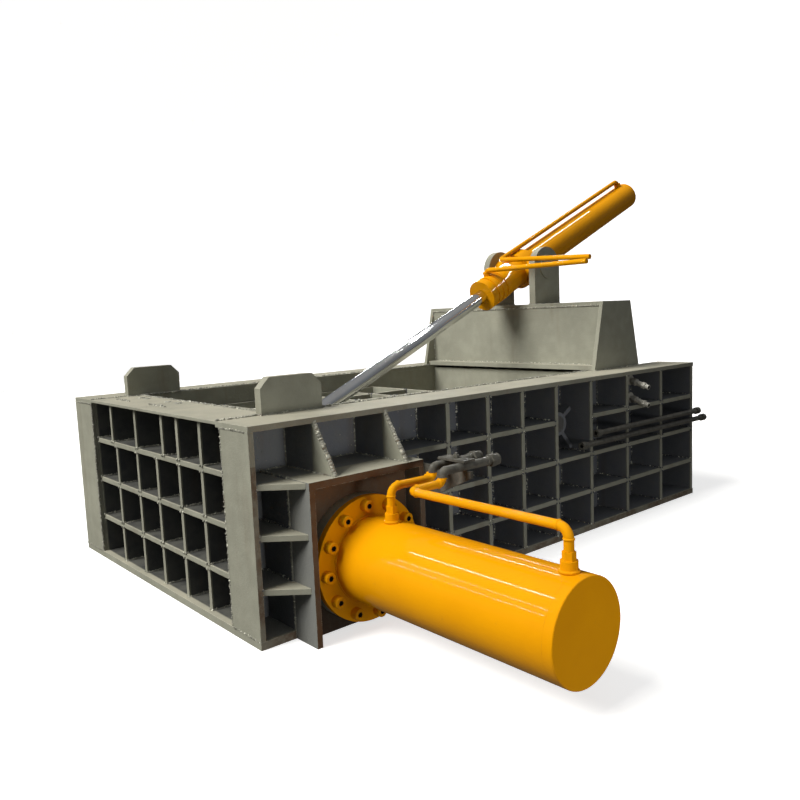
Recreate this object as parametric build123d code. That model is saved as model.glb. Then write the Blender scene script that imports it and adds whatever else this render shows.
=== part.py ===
from build123d import *
import os
from math import cos, radians, sin

# A scrap car press: a ribbed steel box with a hinged lid, a side ram and a main ram.
# Millimetres, +Z up. Origin: middle of the box's footprint, on the floor.
# +X runs along the box from its front end to its rear end, -Y is the side with the yellow side cylinder.

# Press box
BOX_LENGTH = 4000.0
BOX_WIDTH = 2350.0
BOX_HEIGHT = 1060.0
BASE_THICK = 40.0
WALL_THICK = 55.0
LINER_THICK = 25.0
REAR_PLATE_THICK = 30.0
SIDE_CELL_DEPTH = 255.0
FRONT_CELL_DEPTH = 237.0
FLANGE_THICK = 28.0
FRONT_TOP_THICK = 16.0
CORNER_PLATE_THICK = 28.0
NEAR_CORNER_WIDTH = 270.0
FAR_CORNER_WIDTH = 300.0
RIB_THICK = 28.0
RIB_INSET = 5.0
SHELF_SHARES = (0.258, 0.501, 0.747)
SIDE_RIB_SHARES = (0.317, 0.4, 0.4785, 0.563, 0.658, 0.768, 0.882)
FAR_FRONT_RIB_SHARES = (0.056, 0.138, 0.2225)
FRONT_RIB_SHARES = (0.234, 0.35, 0.475, 0.595, 0.733)
FRONT_TOP_RIB_SHARES = (0.234, 0.349, 0.433, 0.594, 0.759)
HINGE_SHARE = 0.61

# Lugs on the side flanges
LUG_FROM_FRONT = 240.0
LUG_LENGTH = 370.0
LUG_HEIGHT = 190.0
LUG_THICK = 55.0
LUG_CORNER = 55.0

# Ram tunnel and rear deck
TUNNEL_FROM_HINGE = 88.0
BULKHEAD_FROM_FRONT = 3100.0
BULKHEAD_THICK = 30.0
DECK_DROP = 23.0
DECK_THICK = 25.0

# Bridge over the rear of the box
BRIDGE_FROM_FRONT = 3325.0
BRIDGE_FOOT_LENGTH = 588.0
BRIDGE_HEAD_LENGTH = 362.0
BRIDGE_HEIGHT = 510.0
BRIDGE_PLATE_THICK = 30.0
BRIDGE_BOTTOM_THICK = 35.0
BRIDGE_BOTTOM_INSET = 35.0
BRIDGE_SIDE_INSET = 250.0

# Trunnion stands on the bridge
TRUNNION_ABOVE_BRIDGE = 300.7
STAND_WIDTH = 317.0
STAND_THICK = 60.0
STAND_GAP = 430.0
CAP_RADIUS = 95.0
CAP_THICK = 14.0

# Lid
LID_LEVEL = 665.0
LID_PLATE_THICK = 40.0
LID_DEPTH = 265.0
LID_END_GAP = 10.0
LID_SIDE_GAP = 10.0
LID_RIB_THICK = 28.0
LID_CROSS_RIB_SHARES = (0.11, 0.28, 0.45, 0.64, 0.81)
LID_LONG_RIB_SHARE = 0.46
CHANNEL_WIDTH = 180.0
CHANNEL_PLATE_THICK = 40.0
CHANNEL_OPEN_SHARE = 0.5
HINGE_HEIGHT = 750.0
HINGE_SHAFT_RADIUS = 55.0
KNUCKLE_RADIUS = 85.0
LID_TO_HINGE = 102.0
HINGE_BOSS_RADIUS = 80.0
HINGE_BOSS_LENGTH = 120.0
HINGE_SPOKE_WIDTH = 105.0
HINGE_SPOKE_RISE = 110.0

# Lid cylinder, on trunnions
LID_BARREL_RADIUS = 118.0
LID_BORE_RADIUS = 92.0
LID_NOSE_REACH = 536.0
LID_TAIL_REACH = 1717.0
LID_HEAD_LENGTH = 230.0
LID_HEAD_RADIUS = 125.0
LID_HEAD_GROOVE = 8.0
LID_HEAD_GROOVE_SHARES = (0.3, 0.55, 0.8)
LID_CAP_THICK = 45.0
TRUNNION_RING_RADIUS = 150.0
TRUNNION_RING_WIDTH = 130.0
TRUNNION_PIN_RADIUS = 65.0
TRUNNION_SHOULDER_RADIUS = 88.0
LID_ROD_RADIUS = 52.5
LID_PISTON_LENGTH = 120.0
ROD_PIN_FROM_FRONT = 1060.0
ROD_PIN_ABOVE_LID = 140.3
ROD_PIN_RADIUS = 45.0
ROD_EYE_WALL = 22.0
ROD_EYE_THICK = 150.0
ROD_EYE_SLIP = 73.0
ROD_EYE_SIDE_PLAY = 4.0

# Side cylinder, its mount frame and its ram
MOUNT_FROM_FRONT = 197.0
MOUNT_WIDTH = 708.0
MOUNT_REACH = 176.0
MOUNT_PLATE_THICK = 30.0
MOUNT_SHELF_LEVEL = 755.0
MOUNT_SHELF_THICK = 35.0
MOUNT_BACKING_THICK = 60.0
MOUNT_RING_THICK = 60.0
GUSSET_SHARES = (0.237, 0.866)
GUSSET_TOE = 150.0
SIDE_AXIS_HEIGHT = 349.0
SIDE_BARREL_RADIUS = 214.0
SIDE_BARREL_REACH = 1425.0
RAM_BORE_RADIUS = 165.0
RAM_ROD_RADIUS = 110.0
RAM_GLAND_LENGTH = 260.0
RAM_PISTON_LENGTH = 150.0
PISTON_END_GAP = 5.0
RAM_CAP_THICK = 45.0
RAM_CAP_ROUND = 6.0
FLANGE_RADIUS = 315.0
FLANGE_DEPTH = 35.0
BOLT_COUNT = 12
BOLT_CIRCLE_RADIUS = 273.0
BOLT_FIRST_ANGLE = 5.5
BOLT_HEAD_RADIUS = 29.0
BOLT_HEAD_HEIGHT = 42.0
BOLT_SOCKET_WIDTH = 24.0
BOLT_SOCKET_DEPTH = 20.0
BOLT_SHANK_RADIUS = 15.0
PLATEN_DEPTH = 220.0
PLATEN_FACE_THICK = 70.0
PLATEN_RIB_THICK = 40.0
PLATEN_GAP = 7.0
PLATEN_FLOOR_GAP = 5.0
PLATEN_LID_GAP = 15.0
PLATEN_RIB_SHARES = (0.0, 0.2, 0.35, 0.65, 0.8, 1.0)

# Main ram and its cylinder
MAIN_FACE_FROM_FRONT = 2480.0
MAIN_STROKE = 1715.0
MAIN_AXIS_HEIGHT = 349.0
MAIN_GLAND_CLEAR = 40.0
MAIN_GLAND_NOSE = 20.0

# Pipes of the side cylinder
PIPE_RADIUS = 20.0
PIPE_BEND = 45.0
ELBOW_BEND = 27.0
PIPE_RISE = 91.0
PORT_RADIUS = 34.0
PORT_HEIGHT = 62.0
PORT_NUT_RADIUS = 27.0
PORT_NUT_HEIGHT = 34.0
FRONT_PORT_REACH = 330.0
REAR_PORT_INSET = 80.0
PIPE_TURN_REACH = 466.0
FRONT_PIPE_REACH = 345.0
FRONT_PIPE_RUN = 260.0
REAR_PIPE_RUN = 206.0
WALL_PIPE_RISE = 56.0
WALL_PIPE_RUN = 287.0
WALL_PIPE_RADIUS = 22.0
SLEEVE_RADIUS = 30.0
SLEEVE_LENGTH = 46.0
BRACKET_THICK = 20.0
BRACKET_REACH = 510.0
BRACKET_TIP_HEIGHT = 34.0
BRACKET_ROOT_HEIGHT = 190.0
BRACKET_LAP = 90.0
CLAMP_LENGTH = 80.0
CLAMP_THICK = 12.0
CLAMP_OVERHANG = 30.0
CLAMP_BOLT_RADIUS = 8.0
CLAMP_NUT_RADIUS = 17.0
CLAMP_NUT_HEIGHT = 16.0
CLAMP_BOLT_TAIL = 10.0

# Pair of pipes along the rear of the near side
REAR_PIPE_RADIUS = 19.0
UPPER_PIPE_DROP = 390.0
UPPER_PIPE_LEAD = 4.0
UPPER_PIPE_OVERHANG = 52.0
LOWER_PIPE_DROP = 454.0
LOWER_PIPE_LEAD = -160.0
LOWER_PIPE_OVERHANG = 143.0
REAR_SLEEVE_RADIUS = 27.0
REAR_SLEEVE_LENGTH = 46.0
REAR_SOCKET_RADIUS = 15.0
REAR_SOCKET_DEPTH = 50.0

# Elbow fittings through the near wall
FITTING_FROM_FRONT = 3215.0
UPPER_FITTING_DROP = 74.0
LOWER_FITTING_RISE = 64.0
FITTING_NECK_RADIUS = 27.0
FITTING_NECK_LENGTH = 160.0
FITTING_DISC_RADIUS = 40.0
FITTING_DISC_DEPTH = 30.0
FITTING_TAIL_RADIUS = 22.0
FITTING_TAIL_LENGTH = 145.0
FITTING_TAIL_DROP = 47.0

# Pipes on the lid cylinder
LID_PIPE_RADIUS = 19.0
LID_PIPE_BEND = 36.0
LID_PIPE_OFFSET = 172.0
LID_PIPE_TURN = -207.0
LID_END_PORT_INSET = 77.0
LID_NOSE_PORT_INSET = 134.0
LID_NOSE_PORT_RISE = 165.0
LID_PORT_RADIUS = 30.0
LID_PORT_HEIGHT = 28.0
LID_LONG_PIPE_REACH = 870.0
LID_NOSE_PIPE_REACH = 965.0
LID_PIPE_DROOP = 45.0

# Fits
RUNNING_CLEARANCE = 0.05
FIXED_CLEARANCE = 0.3
CUT_OVERRUN = 50.0

# Faces and levels worked out from the sizes above
FRONT = -BOX_LENGTH / 2
REAR = BOX_LENGTH / 2
HALF_WIDTH = BOX_WIDTH / 2
WALL_OUTER = HALF_WIDTH - SIDE_CELL_DEPTH
WALL_INNER = WALL_OUTER - WALL_THICK
CHAMBER_SIDE = WALL_INNER - LINER_THICK
RIB_EDGE = HALF_WIDTH - RIB_INSET
FLANGE_UNDER = BOX_HEIGHT - FLANGE_THICK
FRONT_UNDER = BOX_HEIGHT - FRONT_TOP_THICK
POST_BACK = FRONT + CORNER_PLATE_THICK
FRONT_WALL_OUTER = POST_BACK + FRONT_CELL_DEPTH
FRONT_WALL_INNER = FRONT_WALL_OUTER + WALL_THICK
CHAMBER_FRONT = FRONT_WALL_INNER + LINER_THICK
REAR_WALL = REAR - REAR_PLATE_THICK
LID_TOP = LID_LEVEL + LID_PLATE_THICK
LID_RIB_TOP = LID_LEVEL + LID_DEPTH
DECK_TOP = BOX_HEIGHT - DECK_DROP
BULKHEAD = FRONT + BULKHEAD_FROM_FRONT
BRIDGE_X = FRONT + BRIDGE_FROM_FRONT
BRIDGE_TOP = BOX_HEIGHT + BRIDGE_HEIGHT
BRIDGE_OUTER = HALF_WIDTH - BRIDGE_SIDE_INSET
BRIDGE_INNER = BRIDGE_OUTER - BRIDGE_PLATE_THICK
TRUNNION_Z = BRIDGE_TOP + TRUNNION_ABOVE_BRIDGE
STAND_INNER = STAND_GAP / 2
STAND_OUTER = STAND_INNER + STAND_THICK
RIB_XS = [FRONT + share * BOX_LENGTH for share in SIDE_RIB_SHARES]
HINGE_BAY = max(place for place, share in enumerate(SIDE_RIB_SHARES) if share < HINGE_SHARE)
HINGE_X = (RIB_XS[HINGE_BAY] + RIB_XS[HINGE_BAY + 1]) / 2
TUNNEL_START = HINGE_X + TUNNEL_FROM_HINGE
LID_FRONT = CHAMBER_FRONT + LID_END_GAP
LID_REAR = HINGE_X - LID_TO_HINGE
LID_SIDE = CHAMBER_SIDE - LID_SIDE_GAP
SHELF_ZS = [share * BOX_HEIGHT for share in SHELF_SHARES]
MOUNT_LEFT = FRONT + MOUNT_FROM_FRONT
MOUNT_RIGHT = MOUNT_LEFT + MOUNT_WIDTH
MOUNT_EDGE = HALF_WIDTH + MOUNT_REACH
SHELF_TOP = MOUNT_SHELF_LEVEL + MOUNT_SHELF_THICK
SIDE_AXIS_X = (MOUNT_LEFT + MOUNT_RIGHT) / 2
SIDE_PLATEN_LEFT = CHAMBER_FRONT + PLATEN_GAP
SIDE_PLATEN_RIGHT = 2 * SIDE_AXIS_X - SIDE_PLATEN_LEFT
RAM_OPENING_RIGHT = SIDE_PLATEN_RIGHT + PLATEN_GAP
PLATEN_BOTTOM = BASE_THICK + PLATEN_FLOOR_GAP
PLATEN_TOP = LID_LEVEL - PLATEN_LID_GAP
MAIN_FACE = FRONT + MAIN_FACE_FROM_FRONT
TRUNNION = Vector(BRIDGE_X, 0, TRUNNION_Z)
ROD_PIN_X = FRONT + ROD_PIN_FROM_FRONT
ROD_PIN_Z = LID_TOP + ROD_PIN_ABOVE_LID
ROD_PIN = Vector(ROD_PIN_X, 0, ROD_PIN_Z)
ROD_PIN_REACH = (TRUNNION - ROD_PIN).length
AXIS = (TRUNNION - ROD_PIN).normalized()
LIFT = Vector(-AXIS.Z, 0, AXIS.X)
LID_END_PORT = LID_TAIL_REACH - LID_END_PORT_INSET
LID_NOSE_PORT = LID_NOSE_PORT_INSET - LID_NOSE_REACH
REAR_PORT_REACH = SIDE_BARREL_REACH - REAR_PORT_INSET
PORT_FOOT = SIDE_AXIS_HEIGHT + SIDE_BARREL_RADIUS - PORT_RADIUS / 2
PORT_TOP = PORT_FOOT + PORT_HEIGHT + PORT_NUT_HEIGHT
PIPE_LEVEL = PORT_TOP + PIPE_RISE
WALL_PIPE_Z = PIPE_LEVEL + WALL_PIPE_RISE
HEAD_BACK = LID_HEAD_LENGTH - LID_NOSE_REACH
RING_FACE = MOUNT_BACKING_THICK + MOUNT_RING_THICK
FLANGE_FACE = RING_FACE + FLANGE_DEPTH
MAIN_BACK = MAIN_FACE + PLATEN_DEPTH
MAIN_GLAND_FRONT = MAIN_BACK + MAIN_GLAND_CLEAR
MAIN_BARREL_FRONT = MAIN_GLAND_FRONT + MAIN_GLAND_NOSE
MAIN_PISTON_FRONT = MAIN_GLAND_FRONT + RAM_GLAND_LENGTH + MAIN_STROKE + PISTON_END_GAP
MAIN_PISTON_BACK = MAIN_PISTON_FRONT + RAM_PISTON_LENGTH
MAIN_BARREL_INNER_END = MAIN_PISTON_BACK + PISTON_END_GAP
MAIN_BARREL_END = MAIN_BARREL_INNER_END + RAM_CAP_THICK
SIDES = (-1, 1)
HEX_SIDES = 6
FULL_TURN = 360.0


# Shapes

def slab(xs, ys, zs):
    """A square-edged plate or block between two faces on each axis."""
    spans = (xs, ys, zs)
    middle = [(low + high) / 2 for low, high in spans]
    size = [abs(high - low) for low, high in spans]
    return Pos(*middle) * Box(*size)


def plate_across_y(outline, ys):
    """A plate cut to an outline of (x, z) points, standing between two values of y."""
    wire = Polyline(*[(x, min(ys), z) for x, z in outline], close=True)
    return extrude(make_face(wire), amount=abs(ys[1] - ys[0]), dir=(0, 1, 0))


def plate_across_x(outline, xs):
    """A plate cut to an outline of (y, z) points, standing between two values of x."""
    wire = Polyline(*[(min(xs), y, z) for y, z in outline], close=True)
    return extrude(make_face(wire), amount=abs(xs[1] - xs[0]), dir=(1, 0, 0))


def plate_flat(outline, zs):
    """A plate cut to an outline of (x, y) points, lying between two levels."""
    wire = Polyline(*[(x, y, min(zs)) for x, y in outline], close=True)
    return extrude(make_face(wire), amount=abs(zs[1] - zs[0]), dir=(0, 0, 1))


def bar(start, end, radius):
    """A round bar from one point to another."""
    run = Vector(end) - Vector(start)
    stand = (Align.CENTER, Align.CENTER, Align.MIN)
    return Plane(origin=start, z_dir=run) * Cylinder(radius, run.length, align=stand)


def ring(start, end, radius, bore):
    """A round bar with a bore right through it."""
    run = (Vector(end) - Vector(start)).normalized() * CUT_OVERRUN
    return bar(start, end, radius) - bar(Vector(start) - run, Vector(end) + run, bore)


def cross_bore(x, z, radius):
    """A cutter along Y through the whole machine."""
    reach = HALF_WIDTH + CUT_OVERRUN
    return bar((x, -reach, z), (x, reach, z), radius)


def bent_pipe(points, radius, bend):
    """A round pipe along straight runs with round bends."""
    path = FilletPolyline(*points, radius=bend)
    return sweep(Plane(origin=path @ 0, z_dir=path % 0) * Circle(radius), path=path)


def bolt_angles():
    """Places of the bolts round a cylinder flange, in radians."""
    return [radians(BOLT_FIRST_ANGLE + FULL_TURN * step / BOLT_COUNT) for step in range(BOLT_COUNT)]


def along(reach, lift=0.0, y=0.0):
    """A point by its distance along the lid cylinder from the trunnion, and above its axis."""
    return TRUNNION + AXIS * reach + LIFT * lift + Vector(0, y, 0)


def save(node, pieces):
    """Write one sub-part, as separate solids where it is a group of like pieces."""
    solids = [solid for piece in pieces for solid in piece.solids()]
    shape = solids[0] if len(solids) == 1 else Compound(solids)
    export_step(shape, os.path.join("parts", node + ".step"))


# Press box: plates and ribs

def base_plate():
    return [slab((FRONT, REAR), (-HALF_WIDTH, HALF_WIDTH), (0, BASE_THICK))]


def near_wall_plate():
    outline = [(POST_BACK, BASE_THICK), (CHAMBER_FRONT, BASE_THICK), (CHAMBER_FRONT, LID_LEVEL),
               (RAM_OPENING_RIGHT, LID_LEVEL), (RAM_OPENING_RIGHT, BASE_THICK), (REAR_WALL, BASE_THICK),
               (REAR_WALL, FLANGE_UNDER), (POST_BACK, FLANGE_UNDER)]
    bore = cross_bore(HINGE_X, HINGE_HEIGHT, HINGE_SHAFT_RADIUS + FIXED_CLEARANCE)
    return [plate_across_y(outline, (-WALL_OUTER, -WALL_INNER)) - bore]


def far_wall_plate():
    plate = slab((POST_BACK, REAR_WALL), (WALL_INNER, WALL_OUTER), (BASE_THICK, FLANGE_UNDER))
    return [plate - cross_bore(HINGE_X, HINGE_HEIGHT, HINGE_SHAFT_RADIUS + FIXED_CLEARANCE)]


def front_wall_plate():
    xs = (FRONT_WALL_OUTER, FRONT_WALL_INNER)
    return [slab(xs, (-WALL_INNER, WALL_INNER), (BASE_THICK, FRONT_UNDER))]


def rear_end_plate():
    plate = slab((REAR_WALL, REAR), (-RIB_EDGE, RIB_EDGE), (BASE_THICK, FLANGE_UNDER))
    reach = REAR_PLATE_THICK + CUT_OVERRUN
    axis = [(x, 0, MAIN_AXIS_HEIGHT) for x in (REAR - reach, REAR + reach)]
    return [plate - bar(*axis, SIDE_BARREL_RADIUS + FIXED_CLEARANCE)]


def side_rib(x, side):
    half = RIB_THICK / 2
    ys = (side * WALL_OUTER, side * RIB_EDGE)
    return slab((x - half, x + half), ys, (BASE_THICK, FLANGE_UNDER))


def side_shelves(bays, side, hinge_start):
    """Level ribs in each bay, with the upper one left out of the bay that holds the hinge boss."""
    half = RIB_THICK / 2
    ys = (side * WALL_OUTER, side * RIB_EDGE)
    shelves = []
    for left, right in bays:
        levels = SHELF_ZS[:-1] if left == hinge_start else SHELF_ZS
        shelves += [slab((left, right), ys, (z - half, z + half)) for z in levels]
    return shelves


def bays_between(first, xs, last):
    """Spaces between standing ribs, from one end face to the other."""
    half = RIB_THICK / 2
    starts = [first] + [x + half for x in xs]
    ends = [x - half for x in xs] + [last]
    return list(zip(starts, ends))


def near_side_ribs():
    hinge_start = RIB_XS[HINGE_BAY] + RIB_THICK / 2
    ribs = [side_rib(x, -1) for x in RIB_XS]
    ribs += side_shelves(bays_between(MOUNT_RIGHT, RIB_XS, REAR_WALL), -1, hinge_start)
    corner_levels = SHELF_ZS[:-1] + [SHELF_TOP - MOUNT_SHELF_THICK / 2]
    for z in corner_levels:
        outline = [(POST_BACK, -WALL_OUTER), (POST_BACK, -RIB_EDGE),
                   (MOUNT_LEFT, -HALF_WIDTH - GUSSET_TOE), (MOUNT_LEFT, -WALL_OUTER)]
        ribs.append(plate_flat(outline, (z - RIB_THICK / 2, z + RIB_THICK / 2)))
    return ribs


def far_side_ribs():
    xs = [FRONT + share * BOX_LENGTH for share in FAR_FRONT_RIB_SHARES] + RIB_XS
    hinge_start = RIB_XS[HINGE_BAY] + RIB_THICK / 2
    ribs = [side_rib(x, 1) for x in xs]
    return ribs + side_shelves(bays_between(POST_BACK, xs, REAR_WALL), 1, hinge_start)


def front_ribs():
    half = RIB_THICK / 2
    xs = (POST_BACK, FRONT_WALL_OUTER)
    ribs = [slab(xs, (-WALL_INNER, WALL_INNER), (z - half, z + half)) for z in SHELF_ZS]
    bottoms = [BASE_THICK] + [z + half for z in SHELF_ZS]
    tops = [z - half for z in SHELF_ZS] + [FRONT_UNDER]
    rows = [FRONT_RIB_SHARES] * len(SHELF_ZS) + [FRONT_TOP_RIB_SHARES]
    for bottom, top, shares in zip(bottoms, tops, rows):
        for share in shares:
            y = share * BOX_WIDTH - HALF_WIDTH
            ribs.append(slab(xs, (y - half, y + half), (bottom, top)))
    return ribs


def corner_plates():
    xs = (FRONT, POST_BACK)
    zs = (BASE_THICK, FLANGE_UNDER)
    return [slab(xs, (-HALF_WIDTH, NEAR_CORNER_WIDTH - HALF_WIDTH), zs),
            slab(xs, (HALF_WIDTH - FAR_CORNER_WIDTH, HALF_WIDTH), zs)]


def top_flanges():
    zs = (FLANGE_UNDER, BOX_HEIGHT)
    return [slab((FRONT, REAR), (side * WALL_INNER, side * HALF_WIDTH), zs) for side in SIDES]


def front_top_plate():
    return [slab((FRONT, FRONT_WALL_INNER), (-WALL_INNER, WALL_INNER), (FRONT_UNDER, BOX_HEIGHT))]


def chamber_liners():
    bore = cross_bore(HINGE_X, HINGE_HEIGHT, HINGE_SHAFT_RADIUS + FIXED_CLEARANCE)
    near = [(CHAMBER_FRONT, LID_LEVEL), (RAM_OPENING_RIGHT, LID_LEVEL), (RAM_OPENING_RIGHT, BASE_THICK),
            (TUNNEL_START, BASE_THICK), (TUNNEL_START, BOX_HEIGHT), (CHAMBER_FRONT, BOX_HEIGHT)]
    far = slab((CHAMBER_FRONT, TUNNEL_START), (CHAMBER_SIDE, WALL_INNER), (BASE_THICK, BOX_HEIGHT))
    front = slab((FRONT_WALL_INNER, CHAMBER_FRONT), (-WALL_INNER, WALL_INNER), (BASE_THICK, BOX_HEIGHT))
    tunnel_xs = (TUNNEL_START, BULKHEAD)
    tunnel = [slab(tunnel_xs, (side * CHAMBER_SIDE, side * WALL_INNER), (BASE_THICK, LID_LEVEL))
              for side in SIDES]
    return [plate_across_y(near, (-WALL_INNER, -CHAMBER_SIDE)) - bore, far - bore, front] + tunnel


def top_lugs():
    left = FRONT + LUG_FROM_FRONT
    right = left + LUG_LENGTH
    top = BOX_HEIGHT + LUG_HEIGHT
    outline = [(left, BOX_HEIGHT), (right, BOX_HEIGHT), (right, top - LUG_CORNER),
               (right - LUG_CORNER, top), (left + LUG_CORNER, top), (left, top - LUG_CORNER)]
    outer = CHAMBER_SIDE + LUG_THICK
    return [plate_across_y(outline, (side * CHAMBER_SIDE, side * outer)) for side in SIDES]


# Ram tunnel, deck and bridge

def tunnel_roof():
    return [slab((TUNNEL_START, REAR_WALL), (-WALL_INNER, WALL_INNER), (LID_LEVEL, LID_TOP))]


def bulkheads():
    xs = (BULKHEAD, BULKHEAD + BULKHEAD_THICK)
    axis = [(x, 0, MAIN_AXIS_HEIGHT) for x in (BULKHEAD - CUT_OVERRUN, xs[1] + CUT_OVERRUN)]
    lower = slab(xs, (-WALL_INNER, WALL_INNER), (BASE_THICK, LID_LEVEL))
    upper = slab(xs, (-WALL_INNER, WALL_INNER), (LID_TOP, DECK_TOP - DECK_THICK))
    return [lower - bar(*axis, SIDE_BARREL_RADIUS + FIXED_CLEARANCE), upper]


def rear_deck_plate():
    return [slab((BULKHEAD, REAR_WALL), (-WALL_INNER, WALL_INNER), (DECK_TOP - DECK_THICK, DECK_TOP))]


def bridge_end_plates():
    foot = BRIDGE_FOOT_LENGTH / 2
    head = BRIDGE_HEAD_LENGTH / 2
    outline = [(BRIDGE_X - foot, BOX_HEIGHT), (BRIDGE_X + foot, BOX_HEIGHT),
               (BRIDGE_X + head, BRIDGE_TOP), (BRIDGE_X - head, BRIDGE_TOP)]
    return [plate_across_y(outline, (side * BRIDGE_INNER, side * BRIDGE_OUTER)) for side in SIDES]


def bridge_bottom_plate():
    half = BRIDGE_FOOT_LENGTH / 2 - BRIDGE_BOTTOM_INSET
    zs = (BOX_HEIGHT, BOX_HEIGHT + BRIDGE_BOTTOM_THICK)
    return [slab((BRIDGE_X - half, BRIDGE_X + half), (-BRIDGE_INNER, BRIDGE_INNER), zs)]


def bridge_web_plates():
    outer = BRIDGE_HEAD_LENGTH / 2
    inner = outer - BRIDGE_PLATE_THICK
    zs = (BOX_HEIGHT + BRIDGE_BOTTOM_THICK, BRIDGE_TOP - BRIDGE_PLATE_THICK)
    return [slab((BRIDGE_X + end * inner, BRIDGE_X + end * outer), (-BRIDGE_INNER, BRIDGE_INNER), zs)
            for end in SIDES]


def bridge_top_plate():
    half = BRIDGE_HEAD_LENGTH / 2
    zs = (BRIDGE_TOP - BRIDGE_PLATE_THICK, BRIDGE_TOP)
    return [slab((BRIDGE_X - half, BRIDGE_X + half), (-BRIDGE_INNER, BRIDGE_INNER), zs)]


def trunnion_stands():
    half = STAND_WIDTH / 2
    bore = cross_bore(BRIDGE_X, TRUNNION_Z, TRUNNION_PIN_RADIUS + RUNNING_CLEARANCE)
    stands = []
    for side in SIDES:
        ys = (side * STAND_INNER, side * STAND_OUTER)
        upright = slab((BRIDGE_X - half, BRIDGE_X + half), ys, (BRIDGE_TOP, TRUNNION_Z))
        crown = bar((BRIDGE_X, ys[0], TRUNNION_Z), (BRIDGE_X, ys[1], TRUNNION_Z), half)
        stands.append(upright + crown - bore)
    return stands


def trunnion_caps():
    return [bar((BRIDGE_X, side * STAND_OUTER, TRUNNION_Z),
                (BRIDGE_X, side * (STAND_OUTER + CAP_THICK), TRUNNION_Z), CAP_RADIUS) for side in SIDES]


def hinge_shaft():
    reach = WALL_OUTER + HINGE_BOSS_LENGTH
    return [bar((HINGE_X, -reach, HINGE_HEIGHT), (HINGE_X, reach, HINGE_HEIGHT), HINGE_SHAFT_RADIUS)]


def hinge_bosses():
    """A boss on each wall round the shaft's end, with four spokes to the ribs of its bay."""
    half = RIB_THICK / 2
    left = RIB_XS[HINGE_BAY] + half
    right = RIB_XS[HINGE_BAY + 1] - half
    bottom = SHELF_ZS[1] + half
    pieces = []
    for side in SIDES:
        ys = (side * WALL_OUTER, side * (WALL_OUTER + HINGE_BOSS_LENGTH))
        pieces.append(ring((HINGE_X, ys[0], HINGE_HEIGHT), (HINGE_X, ys[1], HINGE_HEIGHT),
                           HINGE_BOSS_RADIUS, HINGE_SHAFT_RADIUS + FIXED_CLEARANCE))
        edge = ys[0] + side * HINGE_SPOKE_WIDTH
        for x in (left, right):
            pieces += [hinge_spoke(x, z, ys[0], edge) for z in (bottom, HINGE_HEIGHT + HINGE_SPOKE_RISE)]
    return pieces


def hinge_spoke(x, z, wall_y, edge_y):
    """A flat bar from the boss to a rib of its bay, square to the wall."""
    run = Vector(x - HINGE_X, 0, z - HINGE_HEIGHT)
    across = Vector(-run.Z, 0, run.X).normalized() * (RIB_THICK / 2)
    start = Vector(HINGE_X, 0, HINGE_HEIGHT) + run.normalized() * (HINGE_BOSS_RADIUS + FIXED_CLEARANCE)
    end = Vector(x, 0, z) - run.normalized() * RIB_THICK
    corners = (start + across, end + across, end - across, start - across)
    return plate_across_y([(point.X, point.Z) for point in corners], (wall_y, edge_y))


# Lid

def lid_plate():
    return [slab((LID_FRONT, LID_REAR), (-LID_SIDE, LID_SIDE), (LID_LEVEL, LID_TOP))]


def lid_long_ribs():
    """Pairs of faces in y of the lid's long ribs: the two edges and one in each half."""
    middle = LID_LONG_RIB_SHARE * LID_SIDE
    half = LID_RIB_THICK / 2
    return [(-LID_SIDE, -LID_SIDE + LID_RIB_THICK), (-middle - half, -middle + half),
            (middle - half, middle + half), (LID_SIDE - LID_RIB_THICK, LID_SIDE)]


def channel_faces():
    """Pairs of faces in y of the two thick plates that hold the rod pin."""
    inner = CHANNEL_WIDTH / 2
    outer = inner + CHANNEL_PLATE_THICK
    return [(-outer, -inner), (inner, outer)]


def lid_ribs():
    zs = (LID_TOP, LID_RIB_TOP)
    ends = (LID_FRONT + LID_RIB_THICK, LID_REAR - LID_RIB_THICK)
    ribs = [slab(ends, ys, zs) for ys in lid_long_ribs()]
    ribs += [slab((LID_FRONT, ends[0]), (-LID_SIDE, LID_SIDE), zs),
             slab((ends[1], LID_REAR), (-LID_SIDE, LID_SIDE), zs)]
    walls = sorted(lid_long_ribs() + channel_faces())
    gaps = [(low[1], high[0]) for low, high in zip(walls, walls[1:])]
    half = LID_RIB_THICK / 2
    for share in LID_CROSS_RIB_SHARES:
        x = LID_FRONT + share * (LID_REAR - LID_FRONT)
        for ys in gaps:
            in_channel = ys[0] < 0 < ys[1]
            if not in_channel or share > CHANNEL_OPEN_SHARE:
                ribs.append(slab((x - half, x + half), ys, zs))
    return ribs


def rod_channel():
    zs = (LID_TOP, LID_RIB_TOP)
    ends = (LID_FRONT + LID_RIB_THICK, LID_REAR - LID_RIB_THICK)
    bore = cross_bore(ROD_PIN_X, ROD_PIN_Z, ROD_PIN_RADIUS + FIXED_CLEARANCE)
    return [slab(ends, ys, zs) - bore for ys in channel_faces()]


def lid_hinge_arms():
    """Plates behind the lid's rear rib, in line with its long ribs, each with an eye on the shaft."""
    bore = cross_bore(HINGE_X, HINGE_HEIGHT, HINGE_SHAFT_RADIUS + RUNNING_CLEARANCE)
    outline = [(LID_REAR, LID_LEVEL), (HINGE_X, HINGE_HEIGHT - KNUCKLE_RADIUS),
               (HINGE_X, HINGE_HEIGHT + KNUCKLE_RADIUS), (LID_REAR, LID_RIB_TOP)]
    arms = []
    for ys in lid_long_ribs() + channel_faces():
        eye = bar((HINGE_X, ys[0], HINGE_HEIGHT), (HINGE_X, ys[1], HINGE_HEIGHT), KNUCKLE_RADIUS)
        arms.append(plate_across_y(outline, ys) + eye - bore)
    return arms


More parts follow.
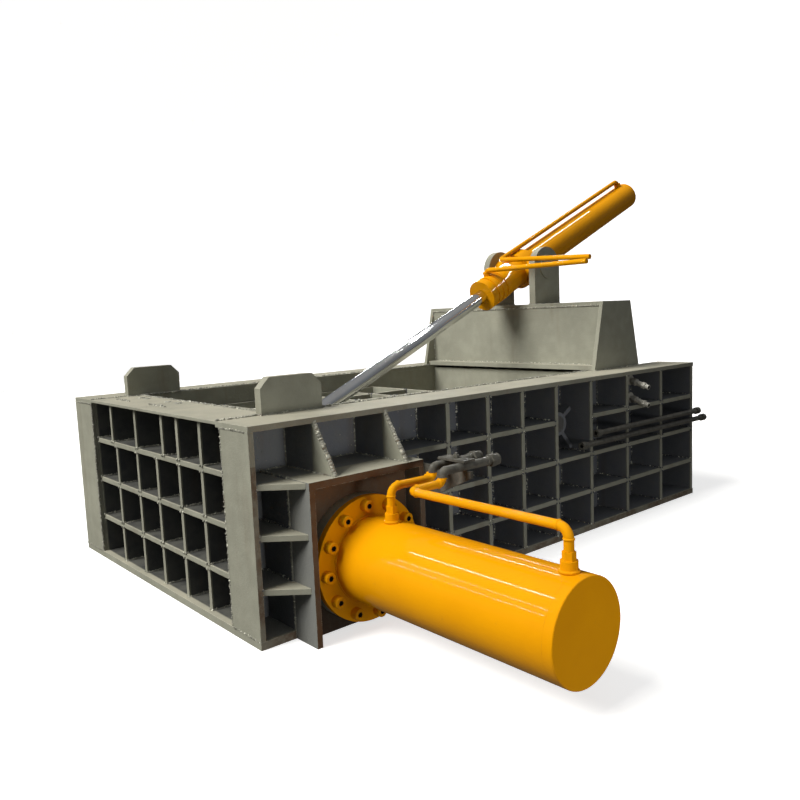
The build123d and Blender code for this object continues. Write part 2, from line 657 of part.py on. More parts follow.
def lid_rod_pin():
    reach = CHANNEL_WIDTH / 2 + CHANNEL_PLATE_THICK
    return [bar((ROD_PIN_X, -reach, ROD_PIN_Z), (ROD_PIN_X, reach, ROD_PIN_Z), ROD_PIN_RADIUS)]


# Lid cylinder and its rod

def lid_cylinder_barrel():
    tube = bar(along(HEAD_BACK), along(LID_TAIL_REACH), LID_BARREL_RADIUS)
    bore_end = LID_TAIL_REACH - LID_CAP_THICK
    return [tube - bar(along(HEAD_BACK - CUT_OVERRUN), along(bore_end), LID_BORE_RADIUS)]


def lid_cylinder_head():
    rod_bore = LID_ROD_RADIUS + RUNNING_CLEARANCE
    head = ring(along(-LID_NOSE_REACH), along(HEAD_BACK), LID_HEAD_RADIUS, rod_bore)
    for share in LID_HEAD_GROOVE_SHARES:
        middle = share * LID_HEAD_LENGTH - LID_NOSE_REACH
        groove = [along(middle - LID_HEAD_GROOVE), along(middle + LID_HEAD_GROOVE)]
        head -= ring(*groove, LID_HEAD_RADIUS + CUT_OVERRUN, LID_HEAD_RADIUS - LID_HEAD_GROOVE)
    return [head]


def lid_cylinder_trunnion():
    half = TRUNNION_RING_WIDTH / 2
    body = bar(along(-half), along(half), TRUNNION_RING_RADIUS)
    shoulder = STAND_INNER - FIXED_CLEARANCE
    pin = STAND_OUTER - FIXED_CLEARANCE
    body += bar(along(0, y=-shoulder), along(0, y=shoulder), TRUNNION_SHOULDER_RADIUS)
    body += bar(along(0, y=-pin), along(0, y=pin), TRUNNION_PIN_RADIUS)
    bore = [along(-half - CUT_OVERRUN), along(half + CUT_OVERRUN)]
    return [body - bar(*bore, LID_BARREL_RADIUS + FIXED_CLEARANCE)]


def lid_cylinder_pipes():
    """The long pipe from the tail port and the short one from the nose port, both out to the near side."""
    turn = along(LID_PIPE_TURN, LID_PIPE_OFFSET)
    tail_end = turn + Vector(0, -LID_LONG_PIPE_REACH, -LID_PIPE_DROOP)
    nose = along(LID_NOSE_PORT, LID_NOSE_PORT_RISE)
    nose_end = nose + Vector(0, -LID_NOSE_PIPE_REACH, 0)
    tail_route = [along(LID_END_PORT, LID_PIPE_OFFSET), turn, tail_end]
    return [lid_pipe(LID_END_PORT, LID_BARREL_RADIUS, tail_route),
            lid_pipe(LID_NOSE_PORT, LID_HEAD_RADIUS, [nose, nose_end])]


def lid_pipe(port, body_radius, route):
    """A port boss saddled on the cylinder, with a pipe that rises out of it."""
    seat = body_radius + FIXED_CLEARANCE
    foot = along(port, seat - LID_PORT_RADIUS / 2)
    boss = bar(foot, along(port, seat + LID_PORT_HEIGHT), LID_PORT_RADIUS)
    pipe = bent_pipe([along(port, seat)] + route, LID_PIPE_RADIUS, LID_PIPE_BEND)
    body = bar(along(port - 2 * LID_PORT_RADIUS), along(port + 2 * LID_PORT_RADIUS), seat)
    return boss + pipe - body


def lid_rod():
    """Piston and rod, turned as one piece; at rest the piston is by the head."""
    piston_front = HEAD_BACK + PISTON_END_GAP
    rod = bar(along(-ROD_PIN_REACH), along(piston_front), LID_ROD_RADIUS)
    piston_back = piston_front + LID_PISTON_LENGTH
    piston = bar(along(piston_front), along(piston_back), LID_BORE_RADIUS - RUNNING_CLEARANCE)
    return [rod + piston - eye_outside()]


def eye_outside():
    outer = ROD_PIN_RADIUS + ROD_EYE_SIDE_PLAY + ROD_EYE_WALL
    return stadium(-ROD_PIN_REACH, -ROD_PIN_REACH - ROD_EYE_SLIP, outer, ROD_EYE_THICK / 2)


def lid_rod_eye():
    """The rod's eye; its bore is a slot along the rod."""
    play = ROD_PIN_RADIUS + ROD_EYE_SIDE_PLAY
    slot = stadium(-ROD_PIN_REACH, -ROD_PIN_REACH - ROD_EYE_SLIP, play, ROD_EYE_THICK / 2 + CUT_OVERRUN)
    return [eye_outside() - slot]


def stadium(start, end, radius, half):
    """A bar with round ends, square to the mid-plane, between two places on the lid cylinder's axis."""
    ends = [bar(along(reach, y=-half), along(reach, y=half), radius) for reach in (start, end)]
    middle = Plane(origin=along((start + end) / 2), x_dir=AXIS, z_dir=(0, -1, 0))
    return middle * Box(abs(end - start), 2 * radius, 2 * half) + ends[0] + ends[1]


# Side cylinder, its mount and its ram

def side_mount_frame():
    outline = [(-MOUNT_EDGE, 0), (-HALF_WIDTH, 0), (-HALF_WIDTH, BASE_THICK), (-WALL_OUTER, BASE_THICK),
               (-WALL_OUTER, MOUNT_SHELF_LEVEL), (-MOUNT_EDGE, MOUNT_SHELF_LEVEL)]
    shelf = slab((MOUNT_LEFT, MOUNT_RIGHT), (-MOUNT_EDGE, -WALL_OUTER), (MOUNT_SHELF_LEVEL, SHELF_TOP))
    return [plate_across_x(outline, (MOUNT_LEFT, MOUNT_LEFT + MOUNT_PLATE_THICK)),
            plate_across_x(outline, (MOUNT_RIGHT - MOUNT_PLATE_THICK, MOUNT_RIGHT)), shelf]


def side_mount_gussets():
    outline = [(-WALL_OUTER, SHELF_TOP), (-HALF_WIDTH - GUSSET_TOE, SHELF_TOP), (-RIB_EDGE, FLANGE_UNDER),
               (-WALL_OUTER, FLANGE_UNDER)]
    gussets = []
    for share in GUSSET_SHARES:
        x = MOUNT_LEFT + share * MOUNT_WIDTH
        gussets.append(plate_across_x(outline, (x - RIB_THICK / 2, x + RIB_THICK / 2)))
    return gussets


def side_point(reach, radius=0.0, angle=0.0):
    """A point by its reach out from the box side, and its place round the side cylinder's axis."""
    level = SIDE_AXIS_HEIGHT + radius * sin(angle)
    return Vector(SIDE_AXIS_X + radius * cos(angle), -HALF_WIDTH - reach, level)


def side_bolt_holes():
    """Cutters for the flange bolts, into half of the backing plate."""
    inner = MOUNT_BACKING_THICK / 2
    outer = FLANGE_FACE + CUT_OVERRUN
    return [bar(side_point(inner, BOLT_CIRCLE_RADIUS, angle), side_point(outer, BOLT_CIRCLE_RADIUS, angle),
                BOLT_SHANK_RADIUS + FIXED_CLEARANCE) for angle in bolt_angles()]


def without(shape, cutters):
    for cutter in cutters:
        shape -= cutter
    return shape


def side_mount_plate():
    xs = (MOUNT_LEFT + MOUNT_PLATE_THICK, MOUNT_RIGHT - MOUNT_PLATE_THICK)
    plate = slab(xs, (-HALF_WIDTH - MOUNT_BACKING_THICK, -HALF_WIDTH), (0, MOUNT_SHELF_LEVEL))
    bore = bar(side_point(-CUT_OVERRUN), side_point(FLANGE_FACE), RAM_BORE_RADIUS + FIXED_CLEARANCE)
    return [without(plate - bore, side_bolt_holes())]


def side_mount_ring():
    collar = ring(side_point(MOUNT_BACKING_THICK), side_point(RING_FACE), FLANGE_RADIUS,
                  RAM_BORE_RADIUS + FIXED_CLEARANCE)
    return [without(collar, side_bolt_holes())]


def side_cylinder_flange():
    flange = ring(side_point(RING_FACE), side_point(FLANGE_FACE), FLANGE_RADIUS,
                  SIDE_BARREL_RADIUS + FIXED_CLEARANCE)
    return [without(flange, side_bolt_holes())]


def side_cylinder_barrel():
    return [ring(side_point(RING_FACE), side_point(SIDE_BARREL_REACH - RAM_CAP_THICK), SIDE_BARREL_RADIUS,
                 RAM_BORE_RADIUS)]


def side_cylinder_end_cap():
    inner = side_point(SIDE_BARREL_REACH - RAM_CAP_THICK)
    cap = bar(inner, side_point(SIDE_BARREL_REACH), SIDE_BARREL_RADIUS)
    rim = cap.edges().sort_by(Axis.Y)[0]
    return [fillet(rim, RAM_CAP_ROUND)]


def side_cylinder_gland():
    return [ring(side_point(RING_FACE - RAM_GLAND_LENGTH / 2), side_point(RING_FACE + RAM_GLAND_LENGTH / 2),
                 RAM_BORE_RADIUS - FIXED_CLEARANCE, RAM_ROD_RADIUS + RUNNING_CLEARANCE)]


def socket_bolt(place, outward, shank):
    """A socket-head bolt: head outside the seat, shank behind it."""
    place = Vector(place)
    outward = Vector(outward)
    head_end = place + outward * BOLT_HEAD_HEIGHT
    bolt = bar(place - outward * shank, head_end, BOLT_SHANK_RADIUS)
    bolt += bar(place, head_end, BOLT_HEAD_RADIUS)
    hexagon = RegularPolygon(BOLT_SOCKET_WIDTH / 2, HEX_SIDES, major_radius=False)
    socket = extrude(Plane(origin=head_end, z_dir=outward) * hexagon, amount=-BOLT_SOCKET_DEPTH)
    return bolt - socket


def side_flange_bolts():
    shank = FLANGE_FACE - MOUNT_BACKING_THICK / 2
    return [socket_bolt(side_point(FLANGE_FACE, BOLT_CIRCLE_RADIUS, angle), (0, -1, 0), shank)
            for angle in bolt_angles()]


def side_ram_rod():
    """Piston and rod, turned as one piece; at rest the piston is by the end cap."""
    piston_back = SIDE_BARREL_REACH - RAM_CAP_THICK - PISTON_END_GAP
    piston_front = piston_back - RAM_PISTON_LENGTH
    rod = bar(side_point(piston_front), side_point(platen_face_back()), RAM_ROD_RADIUS)
    piston = bar(side_point(piston_back), side_point(piston_front), RAM_BORE_RADIUS - RUNNING_CLEARANCE)
    return [rod + piston]


def platen_face_back():
    """Reach, from the box side, of the back of the side platen's face plate: inside, so negative."""
    return CHAMBER_SIDE + PLATEN_FACE_THICK - HALF_WIDTH


def platen_ribs(low, high):
    """Pairs of faces of a platen's standing ribs across its width, clear of the rod in its middle."""
    places = [low + share * (high - low - PLATEN_RIB_THICK) for share in PLATEN_RIB_SHARES]
    return [(place, place + PLATEN_RIB_THICK) for place in places]


def side_ram_platen():
    zs = (PLATEN_BOTTOM, PLATEN_TOP)
    face_ys = (-CHAMBER_SIDE, -CHAMBER_SIDE - PLATEN_FACE_THICK)
    rib_ys = (face_ys[1], -CHAMBER_SIDE - PLATEN_DEPTH)
    pieces = [slab((SIDE_PLATEN_LEFT, SIDE_PLATEN_RIGHT), face_ys, zs)]
    edges = platen_ribs(SIDE_PLATEN_LEFT, SIDE_PLATEN_RIGHT)
    return pieces + [slab(xs, rib_ys, zs) for xs in (edges[0], edges[-1])]


# Main ram and its cylinder

def main_point(x, radius=0.0, angle=0.0):
    """A point by its x, and its place round the main cylinder's axis."""
    return Vector(x, radius * cos(angle), MAIN_AXIS_HEIGHT + radius * sin(angle))


def main_ram_platen():
    zs = (PLATEN_BOTTOM, PLATEN_TOP)
    half = CHAMBER_SIDE - PLATEN_GAP
    face_xs = (MAIN_FACE, MAIN_FACE + PLATEN_FACE_THICK)
    ribs = [slab((face_xs[1], MAIN_BACK), ys, zs) for ys in platen_ribs(-half, half)]
    return [slab(face_xs, (-half, half), zs)] + ribs


def main_ram_rod():
    """Piston and rod, turned as one piece; at rest the piston is by the end cap."""
    rod = bar(main_point(MAIN_FACE + PLATEN_FACE_THICK), main_point(MAIN_PISTON_FRONT), RAM_ROD_RADIUS)
    piston_radius = RAM_BORE_RADIUS - RUNNING_CLEARANCE
    piston = bar(main_point(MAIN_PISTON_FRONT), main_point(MAIN_PISTON_BACK), piston_radius)
    return [rod + piston]


def main_cylinder_gland():
    return [ring(main_point(MAIN_GLAND_FRONT), main_point(MAIN_GLAND_FRONT + RAM_GLAND_LENGTH),
                 RAM_BORE_RADIUS - FIXED_CLEARANCE, RAM_ROD_RADIUS + RUNNING_CLEARANCE)]


def main_cylinder_barrel():
    tube = bar(main_point(MAIN_BARREL_FRONT), main_point(MAIN_BARREL_END), SIDE_BARREL_RADIUS)
    rim = tube.edges().sort_by(Axis.X)[-1]
    tube = fillet(rim, RAM_CAP_ROUND)
    return [tube - bar(main_point(MAIN_BARREL_FRONT - CUT_OVERRUN), main_point(MAIN_BARREL_INNER_END),
                       RAM_BORE_RADIUS)]


def main_cylinder_flange():
    flange = ring(main_point(REAR), main_point(REAR + FLANGE_DEPTH), FLANGE_RADIUS,
                  SIDE_BARREL_RADIUS + FIXED_CLEARANCE)
    holes = [bar(main_point(REAR - CUT_OVERRUN, BOLT_CIRCLE_RADIUS, angle),
                 main_point(REAR + FLANGE_DEPTH + CUT_OVERRUN, BOLT_CIRCLE_RADIUS, angle),
                 BOLT_SHANK_RADIUS + FIXED_CLEARANCE) for angle in bolt_angles()]
    return [without(flange, holes)]


def main_flange_bolts():
    return [socket_bolt(main_point(REAR + FLANGE_DEPTH, BOLT_CIRCLE_RADIUS, angle), (1, 0, 0), FLANGE_DEPTH)
            for angle in bolt_angles()]


# Pipes and fittings

def side_port_fittings():
    """A boss and a union nut at each port on top of the side cylinder."""
    fittings = []
    for reach in (FRONT_PORT_REACH, REAR_PORT_REACH):
        place = side_point(reach)
        base = Vector(place.X, place.Y, PORT_FOOT)
        nut_foot = base + Vector(0, 0, PORT_HEIGHT)
        barrel = bar(side_point(reach - PORT_HEIGHT), side_point(reach + PORT_HEIGHT),
                     SIDE_BARREL_RADIUS + FIXED_CLEARANCE)
        boss = bar(base, nut_foot, PORT_RADIUS) - barrel
        hexagon = Plane(origin=nut_foot) * RegularPolygon(PORT_NUT_RADIUS, HEX_SIDES)
        fittings.append(boss + extrude(hexagon, amount=PORT_NUT_HEIGHT))
    return fittings


def side_pipe_ends():
    """Where the two yellow pipes turn up into the wall pipes."""
    return [Vector(SIDE_AXIS_X + FRONT_PIPE_RUN, -HALF_WIDTH - FRONT_PIPE_REACH, PIPE_LEVEL),
            Vector(SIDE_AXIS_X + REAR_PIPE_RUN, -HALF_WIDTH - PIPE_TURN_REACH, PIPE_LEVEL)]


def side_pipes():
    """Yellow pipes from the two ports to the wall pipes, each turned up at its end."""
    front_end, rear_end = side_pipe_ends()
    half_rise = Vector(0, 0, WALL_PIPE_RISE / 2)
    rear_turn = Vector(SIDE_AXIS_X, rear_end.Y, PIPE_LEVEL)
    front_route = port_rise(FRONT_PORT_REACH) + [front_end, front_end + half_rise]
    rear_route = port_rise(REAR_PORT_REACH) + [rear_turn, rear_end, rear_end + half_rise]
    return [bent_pipe(route, PIPE_RADIUS, [PIPE_BEND] * (len(route) - 3) + [ELBOW_BEND])
            for route in (front_route, rear_route)]


def port_rise(reach):
    """The run straight up out of a port, from its nut to the pipes' level."""
    place = side_point(reach)
    return [Vector(place.X, place.Y, z) for z in (PORT_TOP, PIPE_LEVEL)]


def wall_pipe_tip():
    return max(end.X for end in side_pipe_ends()) + WALL_PIPE_RUN


def wall_pipes():
    """Grey pipes that take the two lines along the near side, each with a sleeve at its free end."""
    pipes = []
    for end in side_pipe_ends():
        corner = Vector(end.X, end.Y, WALL_PIPE_Z)
        tip = Vector(wall_pipe_tip(), end.Y, WALL_PIPE_Z)
        foot = corner - Vector(0, 0, WALL_PIPE_RISE / 2)
        run = bent_pipe([foot, corner, tip], WALL_PIPE_RADIUS, ELBOW_BEND)
        pipes.append(run + bar(tip, tip + Vector(SLEEVE_LENGTH, 0, 0), SLEEVE_RADIUS))
    return pipes


def bracket_top():
    return WALL_PIPE_Z - WALL_PIPE_RADIUS - FIXED_CLEARANCE


def wall_pipe_bracket():
    """A gusset on the mount frame's side plate, out under the two wall pipes."""
    top = bracket_top()
    root = -MOUNT_EDGE + BRACKET_LAP
    tip = -HALF_WIDTH - BRACKET_REACH
    bottom = top - BRACKET_ROOT_HEIGHT
    outline = [(root, top), (tip, top), (tip, top - BRACKET_TIP_HEIGHT), (-MOUNT_EDGE, bottom),
               (root, bottom)]
    return [plate_across_x(outline, (MOUNT_RIGHT, MOUNT_RIGHT + BRACKET_THICK))]


def clamp_bolt_place():
    ends = side_pipe_ends()
    return Vector(MOUNT_RIGHT + BRACKET_THICK / 2, (ends[0].Y + ends[1].Y) / 2, bracket_top())


def clamp_level():
    return WALL_PIPE_Z + WALL_PIPE_RADIUS + FIXED_CLEARANCE


def wall_pipe_clamp():
    """A flat strap across the two wall pipes."""
    near, far = sorted(end.Y for end in side_pipe_ends())
    place = clamp_bolt_place()
    half = CLAMP_LENGTH / 2
    strap = slab((place.X - half, place.X + half), (near - CLAMP_OVERHANG, far + CLAMP_OVERHANG),
                 (clamp_level(), clamp_level() + CLAMP_THICK))
    hole = bar(place, place + Vector(0, 0, BRACKET_ROOT_HEIGHT), CLAMP_BOLT_RADIUS + FIXED_CLEARANCE)
    return [strap - hole]


def clamp_bolt():
    """A stud on the bracket's edge, with the nut that holds the strap."""
    place = clamp_bolt_place()
    nut_foot = Vector(place.X, place.Y, clamp_level() + CLAMP_THICK)
    nut_top = nut_foot + Vector(0, 0, CLAMP_NUT_HEIGHT)
    hexagon = Plane(origin=nut_foot) * RegularPolygon(CLAMP_NUT_RADIUS, HEX_SIDES)
    stud = bar(place, nut_top + Vector(0, 0, CLAMP_BOLT_TAIL), CLAMP_BOLT_RADIUS)
    return [stud + extrude(hexagon, amount=CLAMP_NUT_HEIGHT)]


def rear_pipes():
    """Two pipes welded along the rib edges, sleeved and open at both ends."""
    y = -RIB_EDGE - REAR_PIPE_RADIUS - FIXED_CLEARANCE
    rib_face = RIB_XS[HINGE_BAY + 1] + RIB_THICK / 2
    pipes = []
    for drop, lead, overhang in ((UPPER_PIPE_DROP, UPPER_PIPE_LEAD, UPPER_PIPE_OVERHANG),
                                 (LOWER_PIPE_DROP, LOWER_PIPE_LEAD, LOWER_PIPE_OVERHANG)):
        level = BOX_HEIGHT - drop
        start = Vector(rib_face + lead, y, level)
        end = Vector(REAR + overhang, y, level)
        sleeve = Vector(REAR_SLEEVE_LENGTH, 0, 0)
        socket = Vector(REAR_SOCKET_DEPTH, 0, 0)
        pipe = bar(start, end, REAR_PIPE_RADIUS)
        pipe += bar(start, start + sleeve, REAR_SLEEVE_RADIUS)
        pipe += bar(end - sleeve, end, REAR_SLEEVE_RADIUS)
        pipe -= bar(start, start + socket, REAR_SOCKET_RADIUS)
        pipes.append(pipe - bar(end - socket, end, REAR_SOCKET_RADIUS))
    return pipes


def wall_fittings():
    """Two fittings on the near wall: a neck out of the bay, a union nut and a drooping tail."""
    x = FRONT + FITTING_FROM_FRONT
    fittings = []
    for level in (BOX_HEIGHT - UPPER_FITTING_DROP, SHELF_ZS[-1] + LOWER_FITTING_RISE):
        foot = Vector(x, -WALL_OUTER, level)
        neck_end = foot - Vector(0, FITTING_NECK_LENGTH, 0)
        nut_end = neck_end - Vector(0, FITTING_DISC_DEPTH, 0)
        tail_end = nut_end - Vector(0, FITTING_TAIL_LENGTH, FITTING_TAIL_DROP)
        fitting = bar(foot, nut_end, FITTING_NECK_RADIUS) + bar(neck_end, nut_end, FITTING_DISC_RADIUS)
        fittings.append(fitting + bar(neck_end, tail_end, FITTING_TAIL_RADIUS))
    return fittings


NODES = [base_plate, near_wall_plate, far_wall_plate, front_wall_plate, rear_end_plate, near_side_ribs,
         far_side_ribs, front_ribs, corner_plates, top_flanges, front_top_plate, chamber_liners, top_lugs,
         tunnel_roof, bulkheads, rear_deck_plate, bridge_end_plates, bridge_bottom_plate, bridge_web_plates,
         bridge_top_plate, trunnion_stands, trunnion_caps, hinge_shaft, hinge_bosses, lid_plate, lid_ribs,
         rod_channel, lid_hinge_arms, lid_rod_pin, lid_cylinder_barrel, lid_cylinder_head,
         lid_cylinder_trunnion, lid_cylinder_pipes, lid_rod, lid_rod_eye, side_mount_frame,
         side_mount_gussets, side_mount_plate, side_mount_ring, side_cylinder_flange, side_cylinder_barrel,
         side_cylinder_end_cap, side_cylinder_gland, side_flange_bolts, side_ram_rod, side_ram_platen,
         main_ram_platen, main_ram_rod, main_cylinder_gland, main_cylinder_barrel, main_cylinder_flange,
         main_flange_bolts, side_port_fittings, side_pipes, wall_pipes, wall_pipe_bracket, wall_pipe_clamp,
         clamp_bolt, rear_pipes, wall_fittings]

os.makedirs("parts", exist_ok=True)
for make in NODES:
    save(make.__name__, make())
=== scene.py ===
"""Looks of the scrap car press: paint, weld beads, bolts, fittings, light and camera round its frame."""

import math

import bpy
from bpy.props import FloatProperty, FloatVectorProperty, IntProperty, PointerProperty
from mathutils import Matrix, Vector


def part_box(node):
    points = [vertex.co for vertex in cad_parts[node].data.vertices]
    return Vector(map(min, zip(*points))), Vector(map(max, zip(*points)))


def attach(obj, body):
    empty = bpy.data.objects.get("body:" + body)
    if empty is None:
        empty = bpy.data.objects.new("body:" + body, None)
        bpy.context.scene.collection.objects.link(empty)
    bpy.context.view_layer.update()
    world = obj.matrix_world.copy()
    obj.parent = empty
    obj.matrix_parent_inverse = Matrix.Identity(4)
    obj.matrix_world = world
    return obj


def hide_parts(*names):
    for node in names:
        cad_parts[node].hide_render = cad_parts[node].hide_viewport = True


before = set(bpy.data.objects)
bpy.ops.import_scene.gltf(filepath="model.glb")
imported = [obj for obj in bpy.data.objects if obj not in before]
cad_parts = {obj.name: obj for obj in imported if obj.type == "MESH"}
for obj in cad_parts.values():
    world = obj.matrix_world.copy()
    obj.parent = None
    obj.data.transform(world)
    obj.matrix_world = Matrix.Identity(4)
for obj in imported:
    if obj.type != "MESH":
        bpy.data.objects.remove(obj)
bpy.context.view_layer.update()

bl_info = {
    "name": "Scrap car press",
    "version": (1, 0, 0),
    "blender": (4, 5, 0),
    "location": "View3D > Sidebar > Press",
    "description": "Finishes, weld beads, bolts and fittings of a hydraulic scrap car press",
    "category": "Object",
}

X, Y, Z = range(3)
PLATE_LIMIT = 0.05
HEX_TURN = math.radians(60)
SECOND = "second_finish"
HAIR = 0.001
SLACK = 0.002
EDGE_FADE = 0.014
FACES_PARTLY = 0.5
FACES_FULLY = 0.9

WALL = abs(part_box("near_wall_plate")[0][Y])
RIB_EDGE = abs(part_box("rear_end_plate")[0][Y])
SIDE_EDGE = abs(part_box("base_plate")[0][Y])
FRONT_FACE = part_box("base_plate")[0][X]
FRONT_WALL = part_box("front_wall_plate")[0][X]
CELL_LEAD = FRONT_WALL - 0.1
FLANGE_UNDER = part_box("top_flanges")[0][Z]
RAW_BELOW = FLANGE_UNDER - 0.16
RIB_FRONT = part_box("front_ribs")[0][X]
REAR_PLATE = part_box("rear_end_plate")[0][X]
MOUNT_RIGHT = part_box("side_mount_frame")[1][X]
MOUNT_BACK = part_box("side_mount_plate")[0][Y]
# Heights where the painted shadow on the recessed mount plate fades from full to none.
PAINTED_SHADOW_LEVELS = (0.35, 0.72)
# Shares of the painted cell shade: darker on up-facing faces of the front cells, lighter in the side cells.
FRONT_SHELF_PAINTED_SHADE = 0.55
SIDE_CELL_PAINTED_SHADE = 2.9
SPATTER_DENSITY = 260.0
PLUG_ROW_SHARE = 0.78
PLUG_SHARES = (0.105, 0.268, 0.637, 0.745)
SCAR_ROW_SHARE = 0.36
SCAR_SHARES = ((-0.034, 0.225), (0.584, 0.807))
KEY_TINT = (1.0, 0.985, 0.95)
FILL_SIZE = 1.6
FILL_SPREAD = math.radians(60)
LID_STRIP_PLACE = 0.55
LID_STRIP_LENGTH = 0.9
STAGE_STEPS = 96
DOME_STEP = math.radians(6)
DOME_ROWS = 16


class PressFinishes(bpy.types.PropertyGroup):
    """Colours of the press."""

    paint: FloatVectorProperty(
        name="Grey paint", description="Paint of the box, lid and bridge", subtype="COLOR",
        default=(0.285, 0.283, 0.225), min=0, max=1)
    # Painted shade: the colour put deep inside the rib cells, where they lie in shade.
    shade: FloatVectorProperty(
        name="Cell shade", description="Paint deep inside the rib cells", subtype="COLOR",
        default=(0.056, 0.059, 0.067), min=0, max=1)
    dust: FloatVectorProperty(
        name="Dust", description="Yard dust on faces that look up", subtype="COLOR",
        default=(0.43, 0.405, 0.315), min=0, max=1)
    cut_edge: FloatVectorProperty(
        name="Cut edge", description="Bare flame-cut plate edges", subtype="COLOR",
        default=(0.125, 0.083, 0.054), min=0, max=1)
    rust: FloatVectorProperty(
        name="Rust", description="Bare plate behind the side cylinder", subtype="COLOR",
        default=(0.120, 0.062, 0.030), min=0, max=1)
    yellow: FloatVectorProperty(
        name="Yellow enamel", description="Cylinders and their pipes", subtype="COLOR",
        default=(0.77, 0.325, 0.002), min=0, max=1)
    weld: FloatVectorProperty(
        name="Weld", description="Painted weld beads", subtype="COLOR",
        default=(0.29, 0.285, 0.235), min=0, max=1)
    pipe: FloatVectorProperty(
        name="Pipe steel", description="Dark hydraulic pipes", subtype="COLOR",
        default=(0.095, 0.091, 0.076), min=0, max=1)


class PressSizes(bpy.types.PropertyGroup):
    """Sizes of the weld beads, bolts and fittings."""

    bead_pitch: FloatProperty(
        name="Bead pitch", description="Step from one ripple of a weld to the next",
        default=0.0105, min=0.004, unit="LENGTH")
    cell_bead: FloatProperty(
        name="Cell bead", description="Half width of a weld inside the rib cells",
        default=0.0095, min=0.002, unit="LENGTH")
    heavy_bead: FloatProperty(
        name="Heavy bead", description="Half width of a weld on posts, lugs and bridge",
        default=0.0068, min=0.002, unit="LENGTH")
    rope_bead: FloatProperty(
        name="Rope bead", description="Half width of the weld that covers a gusset's edge",
        default=0.0135, min=0.002, unit="LENGTH")
    plug: FloatProperty(
        name="Plug weld", description="Radius of a plug weld on the front top plate",
        default=0.026, min=0.005, unit="LENGTH")
    spatter: FloatProperty(
        name="Spatter", description="Radius of a weld spatter speck",
        default=0.0035, min=0.001, unit="LENGTH")
    bolt_chamfer: FloatProperty(
        name="Bolt chamfer", description="Chamfer on a bolt head's rim",
        default=0.004, min=0.0, unit="LENGTH")
    bolt_socket: FloatProperty(
        name="Bolt socket", description="Width of a bolt's hex socket across its flats",
        default=0.024, min=0.004, unit="LENGTH")
    socket_depth: FloatProperty(
        name="Socket depth", description="Depth of a bolt's hex socket",
        default=0.020, min=0.002, unit="LENGTH")
    pipe_radius: FloatProperty(
        name="Pipe radius", description="Outer radius of the side cylinder's pipes", default=0.020, min=0.004,
        unit="LENGTH")
    pipe_bend: FloatProperty(
        name="Pipe bend", description="Bend radius of the side cylinder's pipes", default=0.045, min=0.01,
        unit="LENGTH")
    elbow_bend: FloatProperty(
        name="Elbow bend", description="Bend radius of the tight elbows",
        default=0.027, min=0.01, unit="LENGTH")
    elbow_rise: FloatProperty(
        name="Elbow rise", description="How far a pipe rises past its last elbow", default=0.028, min=0.0,
        unit="LENGTH")
    collar: FloatProperty(
        name="Collar", description="How far a weld collar stands out of its pipe", default=0.0035, min=0.0,
        unit="LENGTH")
    union_half: FloatProperty(
        name="Union nut", description="Half width of a union nut across its flats", default=0.0303, min=0.01,
        unit="LENGTH")
    sleeve: FloatProperty(
        name="Sleeve", description="Length of the sleeve on a wall pipe's end", default=0.046, min=0.01,
        unit="LENGTH")
    neck_length: FloatProperty(
        name="Fitting neck", description="From the near wall to a fitting's disc", default=0.160, min=0.02,
        unit="LENGTH")
    disc_depth: FloatProperty(
        name="Fitting disc", description="Thickness of a fitting's disc",
        default=0.030, min=0.004, unit="LENGTH")
    tail_reach: FloatProperty(
        name="Fitting tail", description="How far a fitting's tail reaches out", default=0.145, min=0.02,
        unit="LENGTH")
    tail_drop: FloatProperty(
        name="Tail drop", description="How far a fitting's tail droops",
        default=0.047, min=0.0, unit="LENGTH")
    seed: IntProperty(name="Seed", description="Seed of everything irregular", default=7)


